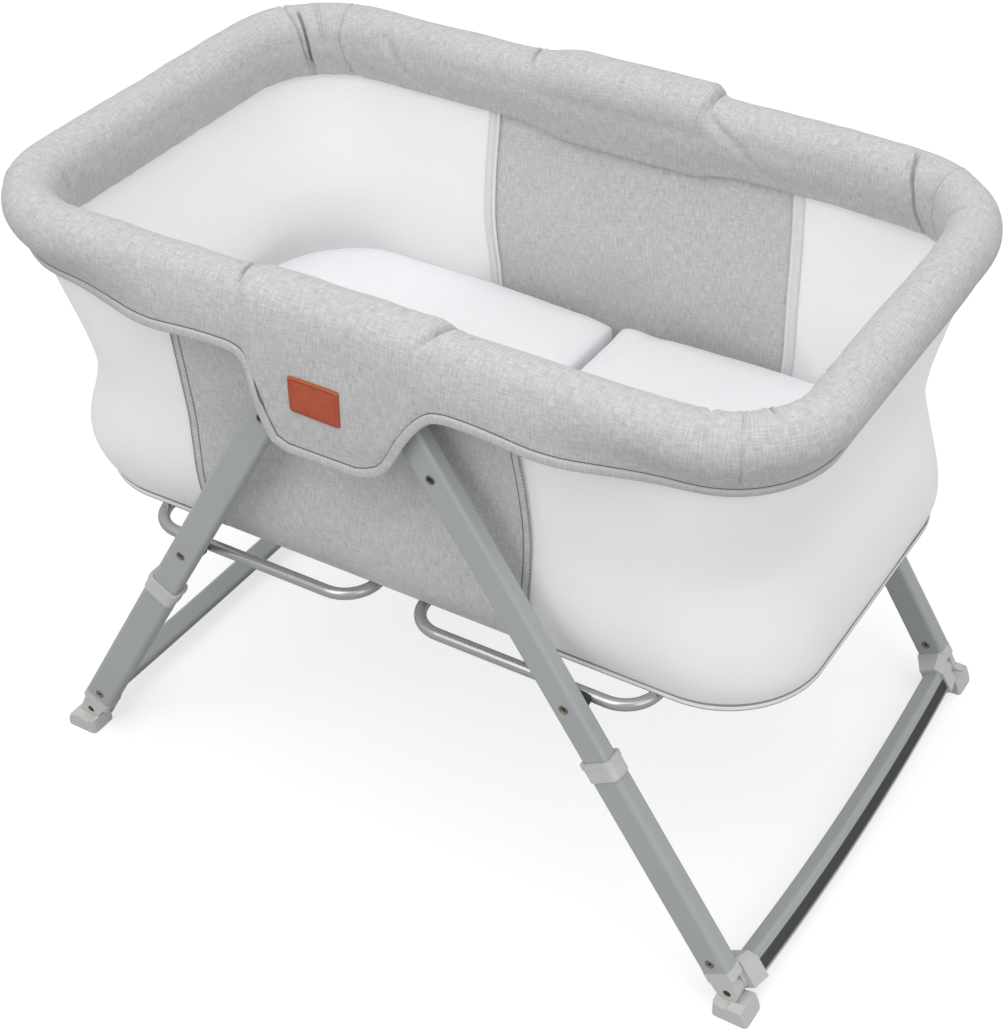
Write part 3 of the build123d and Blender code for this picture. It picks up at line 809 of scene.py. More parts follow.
@dataclass
class Sleeve:
    """Padded cloth sleeve of one rim half, with the flap over the leg tops and its bound edge."""

    hand: Hand
    rim: RimLine
    finishes: Finishes
    radius: float = 0.0262
    skirt_thickness: float = 2.4 * MM
    skirt_drop: float = 0.046
    skirt_out_side: float = 0.034
    skirt_out_end: float = 0.0045
    shoulder_drop: float = 0.0385
    flap_out: float = 0.0405
    flap_length: float = 0.0870
    front_swell: float = 5.5 * MM
    back_swell: float = 11.0 * MM
    inner_drop: float = 0.050
    inner_sag: float = 0.011
    inner_in: float = 0.0125
    hinge_reach: float = 0.030
    tape_width: float = 9.0 * MM
    tape_thickness: float = 4.4 * MM
    step: float = 4.5 * MM
    stitch_pitch: float = 4.6 * MM
    # Radius of the dark cord that paints the shadow line above the binding tape.
    shadow_line_radius: float = 0.75 * MM
    tape_overhang: float = 1.4 * MM
    lining_gap: float = 3.0 * MM
    ripple_height: float = 1.4 * MM
    front_bands: tuple = ((-0.113, -0.092), (0.082, 0.102))
    back_bands: tuple = ((-0.120, -0.060), (0.088, 0.103))
    flap_band: tuple[float, float] = (0.040, 0.118)
    end_band: tuple[float, float] = (0.190, 0.345)
    shoulder_band: tuple[float, float] = (0.13, 0.24)
    sag_band: tuple[float, float] = (0.070, 0.135)
    end_leave: float = 12.0
    side_leave: float = 18.0
    roll_start: float = 188.0
    inner_steps: int = 15
    roll_steps: int = 31
    skirt_steps: int = 27

    def creases(self) -> list[Crease]:
        """Folds and seams of this half, front to back."""
        seam = dict(depth=1.5 * MM, width=1.3 * MM, puff=0.5, fade=0.05)
        over = (-0.11, 0.10)
        if self.hand is Hand.RIGHT:
            return [
                Crease(((0.101, -0.034), (0.095, 0.000), (0.083, 0.030)), 6.5 * MM, 2.0 * MM),
                Crease(((0.344, -0.040), (0.346, -0.004)), 3.0 * MM, 3.2 * MM),
                Crease(((0.380, over[0]), (0.377, 0.0), (0.374, over[1])), **seam),
                Crease(((0.398, -0.060), (0.407, 0.012)), 5.5 * MM, 1.8 * MM),
                Crease(((0.455, -0.060), (0.446, -0.012)), 2.6 * MM, 3.6 * MM),
                Crease(((0.506, -0.045), (0.512, -0.006)), 2.6 * MM, 4.0 * MM),
                Crease(((0.808, 0.004), (0.826, -0.050)), 3.4 * MM, 3.6 * MM),
                Crease(((0.897, over[1]), (0.896, -0.014), (0.886, over[0])), **seam),
                Crease(((0.945, -0.004), (0.940, -0.034), (0.918, -0.100)), 7.5 * MM, 2.0 * MM, fade=0.1),
                Crease(((1.166, 0.016), (1.167, -0.026)), 6.0 * MM, 1.8 * MM),
                Crease(((1.169, -0.023), (1.127, -0.052), (1.085, -0.098)), 2.8 * MM, 4.5 * MM),
            ]
        return [
            Crease(((0.116, -0.030), (0.111, 0.000), (0.106, 0.026)), 6.5 * MM, 1.8 * MM),
            Crease(((0.352, -0.050), (0.364, -0.012)), 3.4 * MM, 3.6 * MM),
            Crease(((0.394, -0.080), (0.404, -0.010)), 6.5 * MM, 1.8 * MM),
            Crease(((0.416, over[0]), (0.428, -0.010), (0.440, over[1])), **seam),
            Crease(((0.460, -0.060), (0.452, -0.020)), 2.4 * MM, 3.6 * MM),
            Crease(((0.842, over[1]), (0.840, -0.012), (0.866, over[0])), 3.0 * MM, 1.6 * MM, fade=0.05),
            Crease(((0.852, -0.014), (0.866, -0.100)), 8.0 * MM, 1.7 * MM, fade=0.1),
            Crease(((0.874, 0.004), (0.883, -0.064)), 2.8 * MM, 2.4 * MM),
            Crease(((0.916, over[1]), (0.912, -0.010), (0.905, -0.045), (0.918, over[0])), **seam),
            Crease(((0.972, -0.030), (1.004, -0.085)), 2.6 * MM, 5.0 * MM),
            Crease(((1.150, 0.012), (1.156, -0.030)), 5.5 * MM, 1.8 * MM),
        ]

    def stations(self) -> Array:
        """Distances along the rim, closer together beside a crease."""
        marks = [np.linspace(0, self.rim.length, int(self.rim.length / self.step))]
        for crease in self.creases():
            along = [s for s, _ in crease.places]
            marks.append(np.arange(min(along) - 3 * crease.width, max(along) + 3 * crease.width,
                                   0.55 * crease.width))
        flap_sides = np.arange(*self.flap_band, 2.2 * MM)
        marks += [flap_sides, self.rim.length - flap_sides]
        every = np.unique(np.round(np.concatenate(marks), 4))
        every = every[np.concatenate([[True], np.diff(every) > 0.35 * MM])]
        return every[(every >= 0) & (every <= self.rim.length)]

    def edge(self, s: Array) -> tuple[Array, Array, Array]:
        """Where the skirt's lower edge hangs.

        Args:
            s: Distances along the rim.

        Returns:
            The edge's distance out of the rim line, its drop, and a share that is 1 along the sides.
        """
        near = np.minimum(s, self.rim.length - s)
        beside = 1 - ramp(*self.end_band, near)
        hang = self.flap_hang(s)
        flap = ramp(0, 0.05, hang)
        out = self.skirt_out_end + (self.skirt_out_side - self.skirt_out_end) * beside
        out = out + (self.flap_out - self.skirt_out_side) * flap
        even = self.shoulder_drop + (self.skirt_drop - self.shoulder_drop) * ramp(*self.shoulder_band, near)
        return out, even + hang, beside

    def flap_hang(self, s: Array) -> Array:
        """How far the flap hangs below the skirt; the back flap is the front one turned about.

        Args:
            s: Distances along the rim.

        Returns:
            The flap's drop beyond the skirt's, which is 0 beside the flap.
        """
        front = s < self.rim.length / 2
        near = np.where(front, s, self.rim.length - s)
        x = np.where(front, 1, -1) * self.hand.value * near
        left = curve_through(((0.070, 1.0), (0.075, 0.88), (0.082, 0.67), (0.087, 0.44), (0.094, 0.20),
                              (0.102, 0.06), (0.114, 0.0)), np.clip(-x, 0.070, 0.114))
        right = curve_through(((0.022, 1.0), (0.039, 0.93), (0.052, 0.83), (0.064, 0.64), (0.075, 0.40),
                               (0.088, 0.19), (0.102, 0.05), (0.118, 0.0)), np.clip(x, 0.022, 0.118))
        corner = 1 - 0.06 * ramp(-0.052, -0.070, x)
        return self.flap_length * np.clip(np.where(x < 0, left * corner, right), 0, 1)

    def section(self, s: Array) -> tuple[Array, Array, int]:
        """Closed section of the sleeve at each place.

        Args:
            s: Distances along the rim.

        Returns:
            Points out of and above the rim line, rows by columns by 2; the distance over the sleeve
            from its crest; and the column of the skirt's edge.
        """
        out, drop, beside = (v[:, None] for v in self.edge(s))
        n = len(s)
        r = self.radius

        def on_roll(degrees: Array) -> Array:
            """Points on the round of the sleeve."""
            a = np.radians(np.broadcast_to(degrees, (n, np.shape(degrees)[-1])))
            return np.stack([r * np.cos(a), r * np.sin(a)], axis=2)

        def bezier(p0: Array, p1: Array, p2: Array, p3: Array, t: Array) -> Array:
            """Points on a cubic curve."""
            t = t[None, :, None]
            return (1 - t) ** 3 * p0 + 3 * (1 - t) ** 2 * t * p1 + 3 * (1 - t) * t * t * p2 + t ** 3 * p3

        leave = self.end_leave + self.side_leave * beside
        a = np.radians(leave)
        start = on_roll(leave)
        leaving = np.stack([np.sin(a), -np.cos(a)], axis=2)
        end = np.stack([out, -drop], axis=2)
        chord = np.linalg.norm(end - start, axis=2, keepdims=True)
        straight = (end - start) / chord
        fall = beside[:, :, None] * np.array([0.02, -1.0]) + (1 - beside[:, :, None]) * straight
        fall = unit(fall)
        reach_out = np.minimum(0.36 * chord, 0.034)
        skirt = bezier(start, start + reach_out * leaving, end - 0.40 * chord * fall, end,
                       np.linspace(0, 1, self.skirt_steps))
        tangent = unit(np.gradient(skirt, axis=1))
        normal = np.stack([-tangent[:, :, 1], tangent[:, :, 0]], axis=2)
        lining = (skirt - self.skirt_thickness * normal)[:, :8:-2]
        hem = end + 0.6 * MM * fall - 0.5 * self.skirt_thickness * normal[:, -1:]

        x = self.hand.value * self.rim.at(s)[0][:, 0]
        sag = self.inner_sag * (1 - ramp(*self.sag_band, np.abs(x)))
        sag = np.where(np.minimum(s, self.rim.length - s) > self.rim.side_run, 0, sag)[:, None]
        along = np.stack([s, 0 * s, 0 * s], axis=1)
        ripple = self.ripple_height * soft_noise(along, 0.016, 31.0)[:, None]
        tail = np.stack([-self.inner_in + 0 * sag, -self.inner_drop - sag + ripple], axis=2)
        top = on_roll(np.array([self.roll_start]))
        down = np.array([[[-0.14, -1.0]]])
        inner = bezier(tail, tail + 0.016 * np.array([[[-0.25, 1.0]]]), top + 0.020 * down, top,
                       np.linspace(0, 1, self.inner_steps))
        inner_back = np.array([[[self.lining_gap, 0]]]) + inner[:, 6::-2]
        hem_in = tail + np.array([[[1.5 * MM, -0.8 * MM]]])
        turned = np.linspace(0, 1, self.roll_steps)[None, 1:-1]
        roll = on_roll(turned * (leave - self.roll_start) + self.roll_start)
        under = on_roll(np.linspace(-40, -108, 7)[None, :])
        loop = np.concatenate([inner, roll, skirt, hem, lining, under, inner_back[:, :-1], hem_in], axis=1)
        girth = run_along(loop)
        crest = np.argmax(loop[:, :, 1], axis=1)
        girth -= girth[np.arange(n), crest][:, None]
        edge = self.inner_steps + self.roll_steps + self.skirt_steps - 3
        return loop, girth, edge

    def tuck(self, s: Array) -> Array:
        """How far the right end sits inside its tube's middle line, most at the back corner."""
        if self.hand is Hand.LEFT:
            return np.zeros(s.shape)
        knots = ((0.24, 0.0), (0.36, 3.0), (0.46, 9.5), (0.60, 11.5), (0.76, 12.5), (0.86, 15.5), (0.93, 7.5),
                 (1.02, 0.0))
        return curve_through(knots, np.clip(s, 0.24, 1.02)) * MM

    def place(self, s: Array, section: Array) -> Array:
        """Carries sections along the rim of this hand."""
        points, out = self.rim.at(s)
        xy = points[:, None] + (section[:, :, :1] - self.tuck(s)[:, None, None]) * out[:, None]
        grid = np.concatenate([xy, self.rim.z + section[:, :, 1:]], axis=2)
        grid[:, :, 0] *= self.hand.value
        return grid

    def build(self) -> list[Piece]:
        """Makes the sleeve, its binding tape, the tape's stitches and a dark cord above the tape that paints
        the shadow of its groove.

        Returns:
            The new pieces, the sleeve first.
        """
        s = self.stations()
        section, girth, edge = self.section(s)
        grid = self.place(s, section)
        normals = grid_normals(grid, wrap=True) * -self.hand.value
        far = np.broadcast_to(s[:, None], girth.shape)
        lift = np.zeros(girth.shape)
        for crease in self.creases():
            lift += crease.press(far, girth)
        x = self.hand.value * np.minimum(far, self.rim.length - far)
        on_front = self.front_swell * plateau(*self.front_bands, x)
        on_back = self.back_swell * plateau(*self.back_bands, x)
        over = ramp(-0.055, -0.015, girth) - 0.8 * ramp(0.02, 0.07, girth)
        lift += np.where(far > self.rim.length / 2, on_back, on_front) * over
        lift += 1.3 * MM * soft_noise(grid, 0.060, 3.0) + 0.5 * MM * soft_noise(grid, 0.022, 7.0)
        on_face = np.zeros(girth.shape[1])
        on_face[1:edge - 3] = 1
        fade = 1 - ramp(girth[:, edge:edge + 1] - 0.022, girth[:, edge:edge + 1] - 0.009, girth)
        grid = grid + (lift * on_face * fade)[:, :, None] * normals
        weave = np.stack([far, girth], axis=2)
        rows, columns = girth.shape
        faces = grid_faces(rows, columns, wrap=True)
        sleeve = new_piece(f"rim_sleeve_{self.hand.word}", grid, faces, self.finishes.cloth, weave)
        pieces = [sleeve] + self.bind(s, grid, edge)
        for piece in pieces:
            self.hang(piece)
        side = Side.FRONT if self.hand is Hand.RIGHT else Side.BACK
        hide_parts(f"rim_pad_{self.hand.word}", f"centre_sleeve_{side.word}", f"flap_{side.word}")
        return pieces

    def bind(self, s: Array, grid: Array, edge: int) -> list[Piece]:
        """Sews the tape over the skirt's lower edge.

        Args:
            s: Distances along the rim.
            grid: The sleeve's points.
            edge: The column of the skirt's edge.

        Returns:
            The tape, its stitches and the dark cord above it, a painted shadow line in the groove over the
            tape.
        """
        hem = grid[:, edge]
        along = unit(np.gradient(hem, axis=0))
        fall = unit(hem - grid[:, edge - 2])
        fall = unit(fall - along * (fall * along).sum(1, keepdims=True))
        out = np.cross(along, fall) * self.hand.value
        half_w, half_t = self.tape_width / 2, self.tape_thickness / 2
        turn = np.radians(np.arange(0, 360, 22.5))
        across = half_w * np.sign(np.cos(turn)) * np.abs(np.cos(turn)) ** 0.55
        thick = half_t * np.sign(np.sin(turn)) * np.abs(np.sin(turn)) ** 0.62
        middle = hem - (half_w - self.tape_overhang) * fall - 0.5 * self.skirt_thickness * out
        tape = middle[:, None] + across[None, :, None] * fall[:, None] + thick[None, :, None] * out[:, None]
        run = run_along(hem)
        weave = np.stack([np.broadcast_to(run[:, None], tape.shape[:2]),
                          np.broadcast_to(turn[None] * half_w / 1.6, tape.shape[:2])], axis=2)
        binding = new_piece(f"binding_{self.hand.word}", tape, grid_faces(len(s), len(turn), wrap=True),
                            self.finishes.binding, weave)
        marks = np.arange(self.stitch_pitch / 2, run[-1], self.stitch_pitch)
        row = middle - 0.58 * half_w * fall + half_t * 0.86 * out
        places, ahead, outward = (read_along(marks, run, vectors) for vectors in (row, along, out))
        seam = stitches(f"binding_stitches_{self.hand.word}", places, ahead, outward, self.finishes.thread)
        # A dark cord in the groove above the tape: a painted shadow line where the tape stands proud of the
        # skirt.
        above = middle - 1.02 * half_w * fall + 0.55 * half_t * out
        line = tube(f"binding_seam_{self.hand.word}", above, self.shadow_line_radius, self.finishes.painted_groove_shadow)
        return [binding, seam, line]

    def hang(self, piece: Piece) -> None:
        """Reads the rim's hinge and bakes the piece's placement into its mesh; the piece is not bent."""
        hinge = abs(next(j for j in frame["joints"] if j["name"] == "fold_right_rim")["pos_m"][0])
        near, far = hinge - self.hinge_reach, hinge + self.hinge_reach
        sign = self.hand.value
        sign * near
        sign * far
        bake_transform(piece)


@dataclass
class SoftWall:
    """Mesh ends and cloth side panels between the rim and the floor."""

    rim: RimLine
    finishes: Finishes
    front_edges: tuple[float, float] = (-0.2165, 0.1625)
    back_edges: tuple[float, float] = (-0.1640, 0.1940)
    edge_bow: float = 7.0 * MM
    left_bulge: float = 10.0 * MM
    right_tuck: float = 11.0 * MM
    floor_corner: float = 0.100
    cloth_thickness: float = 1.2 * MM
    mesh_thickness: float = 0.9 * MM
    panel_proud: float = 1.6 * MM
    top_reach: float = 0.030
    hem_width: float = 10 * MM
    fold_keep: float = 0.35
    sink_keep: float = 0.28
    stitch_pitch: float = 4.4 * MM
    mesh_overlap: float = 5 * MM
    tape_shift: float = 3.5 * MM
    hem_rise: float = 0.7 * MM
    stitch_dip: float = 0.9 * MM
    # Radius of the dark cords that paint shade lines along the panel hems.
    shade_line_radius: float = 0.5 * MM
    half_way: int = 40
    floor_gap: float = 0.5 * MM
    seam_in: float = 5.5 * MM
    hem_strip: float = 0.016
    panel_rows: int = 78
    under_rows: tuple[float, ...] = (-4.8, -4.2, -2.6, -0.8)
    under_tuck: tuple[float, ...] = (7.0, 3.0, 0.8, 0.1)
    stitch_columns: tuple[int, ...] = (3, 8, -9, -4)
    # Columns of the panel grid where the hems' painted shade lines run.
    shade_line_columns: tuple[int, ...] = (1, 9, -10, -2)

    def __post_init__(self) -> None:
        """Takes the floor's size from its boards."""
        _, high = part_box("floor_board_right")
        self.floor_z = high[2] + self.floor_gap
        self.floor_length, self.floor_width = high[0] - self.floor_gap, high[1] - self.floor_gap
        self.top_z = self.rim.z - self.top_reach

    def profile(self, z: Array) -> tuple[Array, Array, Array]:
        """Half length, half width and corner radius of the wall at each height."""
        tight = self.rim.half_length - self.seam_in
        lengths = [(self.floor_z, self.floor_length), (0.354, 0.4155), (0.378, 0.4165), (0.402, 0.4150),
                   (0.424, 0.4110), (0.446, 0.4045), (0.470, 0.3995), (0.500, 0.4010), (0.550, 0.4110),
                   (0.600, tight), (0.640, tight)]
        wide = self.rim.half_width - self.seam_in
        widths = [(self.floor_z, self.floor_width), (0.354, 0.2275), (0.378, 0.2335), (0.405, 0.2350),
                  (0.440, 0.2325), (0.470, 0.2310), (0.520, 0.2345), (0.600, wide), (0.640, wide)]
        corners = [(self.floor_z, self.floor_corner), (0.405, 0.112), (0.470, 0.105), (0.600, 0.0945),
                   (0.640, 0.0945)]
        return curve_through(lengths, z), curve_through(widths, z), curve_through(corners, z)

    def edges(self, side: Side, z: Array) -> tuple[Array, Array]:
        """Where the panel's left and right edges are at each height; they bow a little outward."""
        left, right = self.front_edges if side is Side.FRONT else self.back_edges
        share = np.clip((z - self.floor_z) / (self.top_z - self.floor_z), 0, 1)
        bow = self.edge_bow * np.sin(math.pi * share)
        return left - bow, right + bow

    def end_grid(self, hand: Hand) -> tuple[Array, Array]:
        """The mesh around one end.

        Args:
            hand: Which end.

        Returns:
            The grid of points, bottom row first, and its places on the cloth.
        """
        z = np.linspace(self.floor_z, self.top_z, 74)
        length, width, corner = (v[:, None] for v in self.profile(z))
        if hand is Hand.LEFT:
            length = length + self.left_bulge * np.exp(-((z[:, None] - 0.380) / 0.036) ** 2)
        else:
            length = length - self.right_tuck * ramp(0.340, 0.425, z[:, None])
        straight = np.linspace(0, 1, 26)[None, :-1]
        bend = np.linspace(0, math.pi / 2, 30)[None, :-1]
        end = np.linspace(-1, 1, 44)[None]
        starts = [np.abs(self.edges(side, z)[hand is Hand.RIGHT])[:, None] - self.mesh_overlap
                  for side in Side]
        front, back = (start + straight * (length - corner - start) for start in starts)
        x2 = length - corner + corner * np.sin(bend)
        y2 = -width + corner * (1 - np.cos(bend))
        xs = np.concatenate([front, x2, length + 0 * end, x2[:, ::-1], back[:, ::-1]], axis=1)
        ys = np.concatenate([-width + 0 * front, y2, end * (width - corner), -y2[:, ::-1], width + 0 * back],
                            axis=1)
        grid = np.stack([xs, ys, np.broadcast_to(z[:, None], xs.shape)], axis=2)
        weave = np.stack([run_along(grid), grid[:, :, 2]], axis=2)
        slack = 0.9 * MM * soft_noise(grid * [1, 1, 0.5], 0.10, 11.0 + hand.value)
        normals = grid_normals(grid)
        outward = np.sign(normals[:, :, 0].mean())
        grid = grid + slack[:, :, None] * normals * outward
        if hand is Hand.LEFT:
            grid[:, :, 0] *= -1
            grid, weave = grid[:, ::-1], weave[:, ::-1]
        return grid, weave

    def panel_grid(self, side: Side) -> tuple[Array, Array]:
        """The cloth panel on one long side, with its hems.

        Args:
            side: Which side.

        Returns:
            The grid of points, bottom row first, and its places on the cloth.
        """
        steps = np.array([0, 0.7, 1.5, 2.3, 3.0, 4.5, 6.5, 8.0, 8.8, 9.5, 10.3, 11.2, 13]) * MM
        z = np.concatenate([self.floor_z + np.array(self.under_rows) * MM,
                            np.linspace(self.floor_z + 1.2 * MM, self.top_z, self.panel_rows)])
        tuck = np.concatenate([self.under_tuck, np.zeros(self.panel_rows)]) * MM
        _, width, _ = self.profile(np.maximum(z, self.floor_z))
        left, right = (v[:, None] for v in self.edges(side, z))
        inner = left + self.hem_strip + np.linspace(0, 1, 74)[None] * (right - left - 2 * self.hem_strip)
        xs = np.concatenate([left + steps, inner, right - steps[::-1]], axis=1)
        zs = np.broadcast_to(z[:, None], xs.shape)
        from_edge = np.minimum(xs - left, right - xs)
        hem = np.where(from_edge < self.hem_width, 1.0, 0.0) * self.hem_rise
        rows_of_stitches = sum(np.exp(-((from_edge - d) / (0.7 * MM)) ** 2) for d in (2.2 * MM, 9.0 * MM))
        out = (width - tuck + self.panel_proud)[:, None] + hem - self.stitch_dip * rows_of_stitches
        grid = np.stack([xs, side.value * out, zs], axis=2)
        drape = 2.0 * MM * soft_noise(grid * [1, 1, 0.45], 0.085, 5.0)
        drape = drape + 0.7 * MM * soft_noise(grid, 0.032, 9.0)
        held = ramp(0, 0.03, from_edge) * ramp(self.floor_z, self.floor_z + 0.03, zs)
        grid[:, :, 1] += side.value * (drape * held + 0.6 * MM)
        weave = np.stack([xs, zs], axis=2)
        if side is Side.BACK:
            grid, weave = grid[:, ::-1], weave[:, ::-1]
        return grid, weave

    def build(self) -> list[Piece]:
        """Makes the mesh ends, the panels, their seam tapes, stitches and the dark cords that paint shade
        lines along the hems.

        Returns:
            The new pieces.
        """
        pieces = []
        for hand in Hand:
            grid, weave = self.end_grid(hand)
            wall = shell(f"mesh_end_{hand.word}", grid, self.mesh_thickness, self.finishes.mesh, weave)
            self.settle(wall, hand)
            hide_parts(f"mesh_wall_{hand.word}")
            pieces.append(wall)
        for side in Side:
            grid, weave = self.panel_grid(side)
            panel = shell(f"side_cloth_{side.word}", grid, self.cloth_thickness, self.finishes.panel, weave)
            self.hang(panel, "grey_fabric")
            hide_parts(f"side_panel_{side.word}")
            across = float(np.abs(grid[self.half_way, 0, 0] - grid[self.half_way, -1, 0]))
            pieces += [panel, self.seam_tape(side), self.hem_stitches(side, grid)]
            pieces += self.hem_shade_lines(side, grid)
        return pieces

    def seam_tape(self, side: Side) -> Piece:
        """White tape over the seams inside, where the mesh meets the panel."""
        z = np.linspace(self.floor_z + 4 * MM, self.top_z, 60)
        _, width, _ = self.profile(z)
        points, faces, cloth = [], [], []
        for sign, edge in zip((-1, 1), self.edges(side, z)):
            x = np.array([-4.5, -4.0, 0, 4.0, 4.5]) * MM
            bulge = np.array([0, 0.7, 0.9, 0.7, 0]) * MM
            xs = edge[:, None] + sign * self.tape_shift + x[None]
            zs = np.broadcast_to(z[:, None], xs.shape)
            ys = side.value * (width[:, None] - self.mesh_thickness - 0.3 * MM - bulge[None])
            front = np.stack([xs, ys, zs], axis=2).reshape(-1, 3)
            back = front + np.array([0, side.value * 0.5 * MM, 0])
            start = sum(len(p) for p in points)
            both = grid_faces(len(z), len(x), start=start)
            count = len(front)
            faces += both + [tuple(v + count for v in reversed(f)) for f in both]
            points += [front, back]
            cloth += [np.stack([zs, xs], axis=2).reshape(-1, 2)] * 2
        tape = new_piece(f"seam_tape_{side.word}", np.concatenate(points), faces, self.finishes.seam_tape,
                         np.concatenate(cloth))
        self.hang(tape, "white_mesh")
        return tape

    def hem_stitches(self, side: Side, grid: Array) -> Piece:
        """Two rows of stitches down each hem of a panel."""
        places = []
        for column in self.stitch_columns:
            z = np.arange(self.floor_z + 6 * MM, self.rim.z - 0.046, self.stitch_pitch)
            line = grid[len(self.under_rows):, column]
            places.append(read_along(z, line[:, 2], line))
        at = np.concatenate(places) + np.array([0, side.value * self.cloth_thickness, 0])
        along = np.tile([0, 0, 1.0], (len(at), 1))
        out = np.tile([0, float(side.value), 0], (len(at), 1))
        seam = stitches(f"hem_stitches_{side.word}", at, along, out, self.finishes.hem_line)
        self.hang(seam, "grey_fabric")
        return seam

    def hem_shade_lines(self, side: Side, grid: Array) -> list[Piece]:
        """Dark cords along the cut edge and the inner fold of each hem of a panel: painted shade lines where
        the cloth steps and turns.
        """
        lines = []
        out = np.array([0, side.value * (self.cloth_thickness - 0.1 * MM), 0])
        for number, column in enumerate(self.shade_line_columns):
            place = grid[len(self.under_rows):-8, column] + out
            # Painted shade: a dark cord along the hem's edge or fold.
            line = tube(f"hem_line_{side.word}_{number}", place, self.shade_line_radius, self.finishes.hem_line)
            self.hang(line, "grey_fabric")
            lines.append(line)
        return lines

    def hang(self, piece: Piece, slot: str) -> None:
        """Hangs a piece of a panel on the hub and gives it a mesh of its own."""
        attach(piece, "hub")
        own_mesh(piece)

    def settle(self, wall: Piece, hand: Hand) -> None:
        """Hangs a mesh end on the floor half of its end and gives it a mesh of its own."""
        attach(wall, f"{hand.word}_floor")
        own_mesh(wall)


